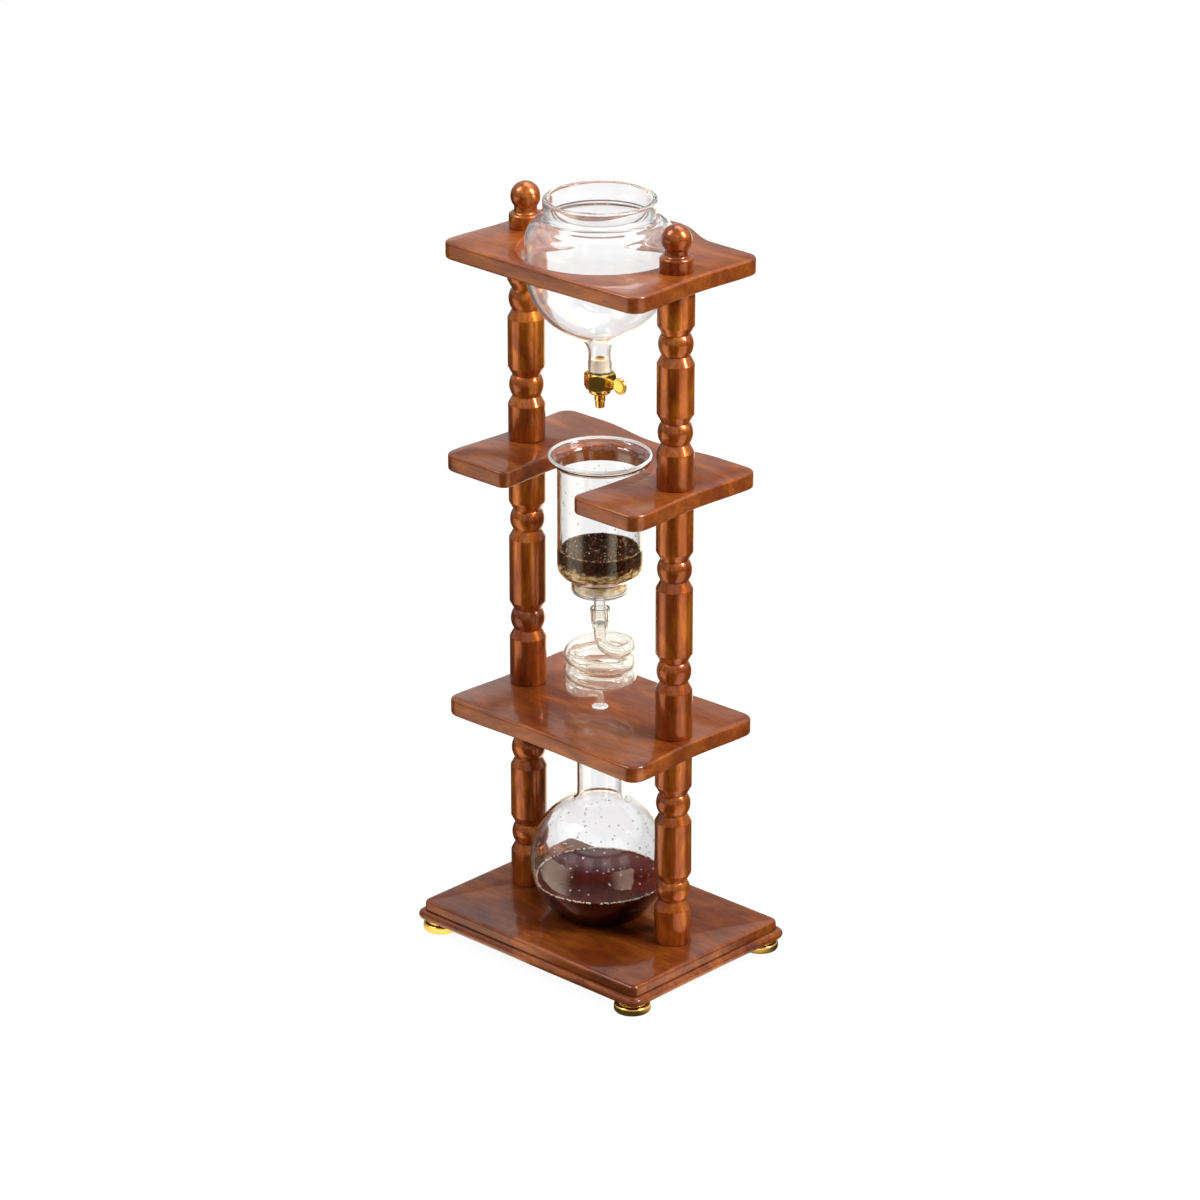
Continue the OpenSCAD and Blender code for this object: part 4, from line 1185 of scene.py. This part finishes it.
# %% [markdown]
# ## The flask
# The flask is a ball of glass on a flat foot with a straight neck. The brew
# inside it touches the glass, because a gap of air would show as a silver
# skin. Its surface climbs the glass a little at the rim, and pale bubbles
# gather there.

# %% Flask
BASE = height_of("base_board", 1)
FLASK_TOP = height_of("flask", 1)
FLASK_R, FLASK_Z, FLASK_WALL = 61.2, BASE + 50, 2.0
NECK_R_OUT, NECK_R_IN = 20.0, 18.0
NECK_FLARE, NECK_FLARE_IN = 24.0, 22.8
FOOT_TURN = math.asin(45 / FLASK_R)


def flask_inside(z):
    return math.sqrt((FLASK_R - FLASK_WALL) ** 2 - (z - FLASK_Z) ** 2)


def flask():
    top, outer, bore = FLASK_TOP, NECK_R_OUT, NECK_R_IN
    up = math.acos(NECK_FLARE / FLASK_R)
    x, z = FLASK_R * math.cos(FOOT_TURN), FLASK_Z - FLASK_R * math.sin(FOOT_TURN)
    neck_z = FLASK_Z + FLASK_R * math.sin(up)
    pen = Pen(0, BASE + 0.4).line(30, BASE + 0.1).line(34, BASE).bend((39, BASE), (x, z), 8)
    pen.arc(0, FLASK_Z, math.degrees(FOOT_TURN + up), 56)
    pen.bend((outer, neck_z + 2), (outer, neck_z + 8), 8)
    pen.line(outer, top - 6).bend((outer, top - 4), (22, top - 3.4), 5)
    pen.bend((23, top - 3), (23, top - 1.6), 4)
    pen.bend((23, top), (21.4, top), 4)
    pen.bend((bore, top), (bore, top - 4), 6).line(bore, neck_z + 8)
    inner = FLASK_R - FLASK_WALL
    turn = math.acos(NECK_FLARE_IN / inner)
    bulb_top = FLASK_Z + inner * math.sin(turn)
    pen.bend((bore, neck_z + 1.6), (NECK_FLARE_IN, bulb_top), 8)
    pen.arc(0, FLASK_Z, -math.degrees(turn + FOOT_TURN), 56)
    floor_z = BASE + FLASK_WALL
    pen.bend((37, floor_z), (32, floor_z), 8).line(0, floor_z + 0.4)
    return pen.turned(128)


def brew(level):
    r = FLASK_R - FLASK_WALL + 0.15
    low, high = -FOOT_TURN, math.asin((level - FLASK_Z) / r)
    x, z = r * math.cos(low), FLASK_Z + r * math.sin(low)
    floor_z = BASE + FLASK_WALL
    pen = Pen(0, floor_z + 0.1).line(32, floor_z - 0.1).bend((37.2, floor_z), (x, z), 8)
    pen.arc(0, FLASK_Z, math.degrees(high - low), 24)
    edge = math.sqrt(r * r - (level - FLASK_Z) ** 2)
    pen.bend((edge - 0.6, level - 0.9), (edge - 2.4, level - 1.0), 5)
    return pen.line(0, level - 1.0).turned(128)


LEVEL = height_of("brewed_coffee", 1)
add_glass("glass_flask", flask(), "flask", ["flask"])
made = brew(LEVEL)
add_piece("brew", made, "flask", "brewed_coffee", brewed_coffee, ["brewed_coffee"], crease=50)

# %% Bubbles and drops


def bubble_spot():
    radius = flask_inside(LEVEL) - random.uniform(0.2, 0.9)
    return round_spot(radius, LEVEL - 0.35 + random.uniform(-0.3, 0.4))


def flask_drop_spot():
    z = random.uniform(LEVEL + 2, FLASK_Z + 46)
    place, out = round_spot(flask_inside(z) - 0.05, z)
    return place, (place - Vector((0, 0, FLASK_Z))).normalized()


scatter("brew_bubbles", 330, (0.45, 1.0), bubble_spot, "flask", "brewed_coffee", pale_foam)
size = (0.6, 1.3)
scatter("flask_drops", 170, size, flask_drop_spot, "flask", "flask_glass", water, squash=0.5)

# %% [markdown]
# ## Pieces that keep the model's shape
# Studs, inserts, bolts, screws, pads, the seals, the sleeve in the stem, the
# tail of the tap and the filter need no new shape. Each gets its real finish.

# %% Carried-over pieces
CARRIED = {
    "spindle_studs": stud_steel,
    "thread_inserts": polished_brass,
    "base_bolts": stud_steel,
    "base_washers": stud_steel,
    "foot_screws": stud_steel,
    "foot_pads": black_rubber,
    "stem_sleeve": cream_silicone,
    "tap_tail": polished_brass,
    "tap_gasket": black_rubber,
    "key_o_ring": black_rubber,
    "filter_plate": filter_ceramic,
    "filter_pad": filter_fabric,
}
for node, finish in CARRIED.items():
    slots = nodes[node].material_slots
    for slot in slots:
        slot.material = finish
    print(node, "has", len(slots), "slot")

# %% [markdown]
# ## The room
# The object stands on a pale floor in a pale room. The camera sees both as
# white, but the floor keeps a part of its own shading, and so its soft
# shadow. A ray that a clean gloss mirrors finds broad warm patches on the
# floor and tall windows in the walls: they draw the bright bands on the
# columns. A ray that goes straight through glass finds white with dim
# strips, which give the glass its grey lines. For all other light the world
# is dim, so that the lamps shape the object.

# %% Floor and world
WHITE_SHARE = 0.93
WHITE, WARM, COOL = (1, 1, 1), (1.0, 0.84, 0.64), (0.97, 0.98, 1.0)


def compass(finish, vector, turns, phase=0.0):
    """A wave from 0 to 1 that goes round the Z axis that many times."""
    east = finish.node("SeparateXYZ", {0: vector}, out="X")
    north = finish.node("SeparateXYZ", {0: vector}, out="Y")
    turned = north.sum("ARCTAN2", north, east) * turns + phase
    return turned.sum("COSINE", turned) * 0.5 + 0.5


def dim_strips(finish, vector):
    return compass(finish, vector, 8).step(0.15, 0.75, 0.75, 1.0)


def rays_of(finish):
    """Rays from the camera, rays mirrored in a clean gloss, and rays straight through glass."""

    def asked(name):
        return finish.node("LightPath", out=name)

    scattered = asked("Diffuse Depth").step(0.4, 0.6)
    mirrored = asked("Glossy Depth").step(0.4, 0.6)
    glossy_ray = asked("Is Glossy Ray") * (1 - scattered)
    glass_ray = asked("Is Transmission Ray") * (1 - scattered) * (1 - mirrored)
    return asked("Is Camera Ray"), glossy_ray, glass_ray


def floor_finish():
    floor = Finish("pale_floor")
    spot = floor.node("TexCoord", out="Object")
    cloud = floor.mottle(floor.place(), 3, detail=2)
    grey = floor.blend(cloud * 0.1, (0.90, 0.90, 0.90), (0.86, 0.86, 0.86))
    matt = floor.node("BsdfDiffuse", {"Color": grey})
    white = floor.node("Emission", {"Color": WHITE, "Strength": 1.03})
    strips = dim_strips(floor, spot)
    through = floor.node("Emission", {"Color": WHITE, "Strength": strips})
    # seen in lacquer and brass: three broad patches, dark between them
    patches = compass(floor, spot, 3).step(0.40, 0.95, 0.08, 2.0)
    mirrored = floor.node("Emission", {"Color": WARM, "Strength": patches})
    camera_ray, glossy_ray, glass_ray = rays_of(floor)
    shown = floor.either(camera_ray * WHITE_SHARE, matt, white)
    # a ray through clear glass counts as glossy too, so it is asked last
    shown = floor.either(glossy_ray, shown, mirrored)
    return floor.show(floor.either(glass_ray, shown, through))


bm = bmesh.new()
bmesh.ops.create_grid(bm, x_segments=8, y_segments=8, size=6.0)
floor = in_scene("floor", as_mesh("floor", bm))
floor.data.materials.append(floor_finish())
floor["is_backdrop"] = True


def studio_world():
    world = Finish("studio", bpy.data.worlds.new("studio"))
    bpy.context.scene.world = world.owner
    way = world.node("TexCoord", out="Generated")
    height = world.node("SeparateXYZ", {0: way}, out="Z")
    # tall windows all round the room, and a pale ceiling above them
    window = compass(world, way, 12, 1.26).step(0.2, 0.8, 0.45, 1.0)
    wall = height.step(0.05, 0.20, 0.4, 1.0) * height.step(0.32, 0.44, 1.0, 0.0) * window
    wall = wall + height.step(0.42, 0.50) * height.step(0.70, 0.85, 1.0, 0.6)
    strips = dim_strips(world, way).max(height.step(0.15, 0.4))

    def background(strength, colour=WHITE):
        return world.node("Background", {"Color": colour, "Strength": strength})

    camera_ray, glossy_ray, glass_ray = rays_of(world)
    shown = world.either(glossy_ray, background(0.24, COOL), background(wall))
    shown = world.either(glass_ray, shown, background(strips))
    world.show(world.either(camera_ray, shown, background(1.0)), "World")


studio_world()
print("floor and world")

# %% [markdown]
# Three soft lamps light the object: a large one high on the left, a tall one
# on the right that lights the edge of each column, and a small one above.

# %% Lamps
LAMP_AIM = Vector((0, 0, 0.3))


def softbox(name, place, size, watts):
    data = bpy.data.lights.new(name, "AREA")
    data.shape = "RECTANGLE"
    data.size, data.size_y = size
    data.energy = watts
    lamp = in_scene(name, data)
    lamp.location = place
    lamp.rotation_euler = (LAMP_AIM - Vector(place)).to_track_quat("-Z", "Y").to_euler()
    print(name, watts, "W")


softbox("key", (-1.3, -1.6, 2.9), (1.2, 1.6), 60)
softbox("side", (2.0, 0.8, 2.3), (0.8, 1.6), 115)
softbox("top", (-0.2, 0.8, 2.6), (1.6, 1.2), 26)

# %% [markdown]
# ## Measure and finish
# The box round all the pieces that are rendered is printed, in metres.

# %% Sizes and finish
low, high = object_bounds()
print("visual", [round(v, 4) for v in (*low, *high)])
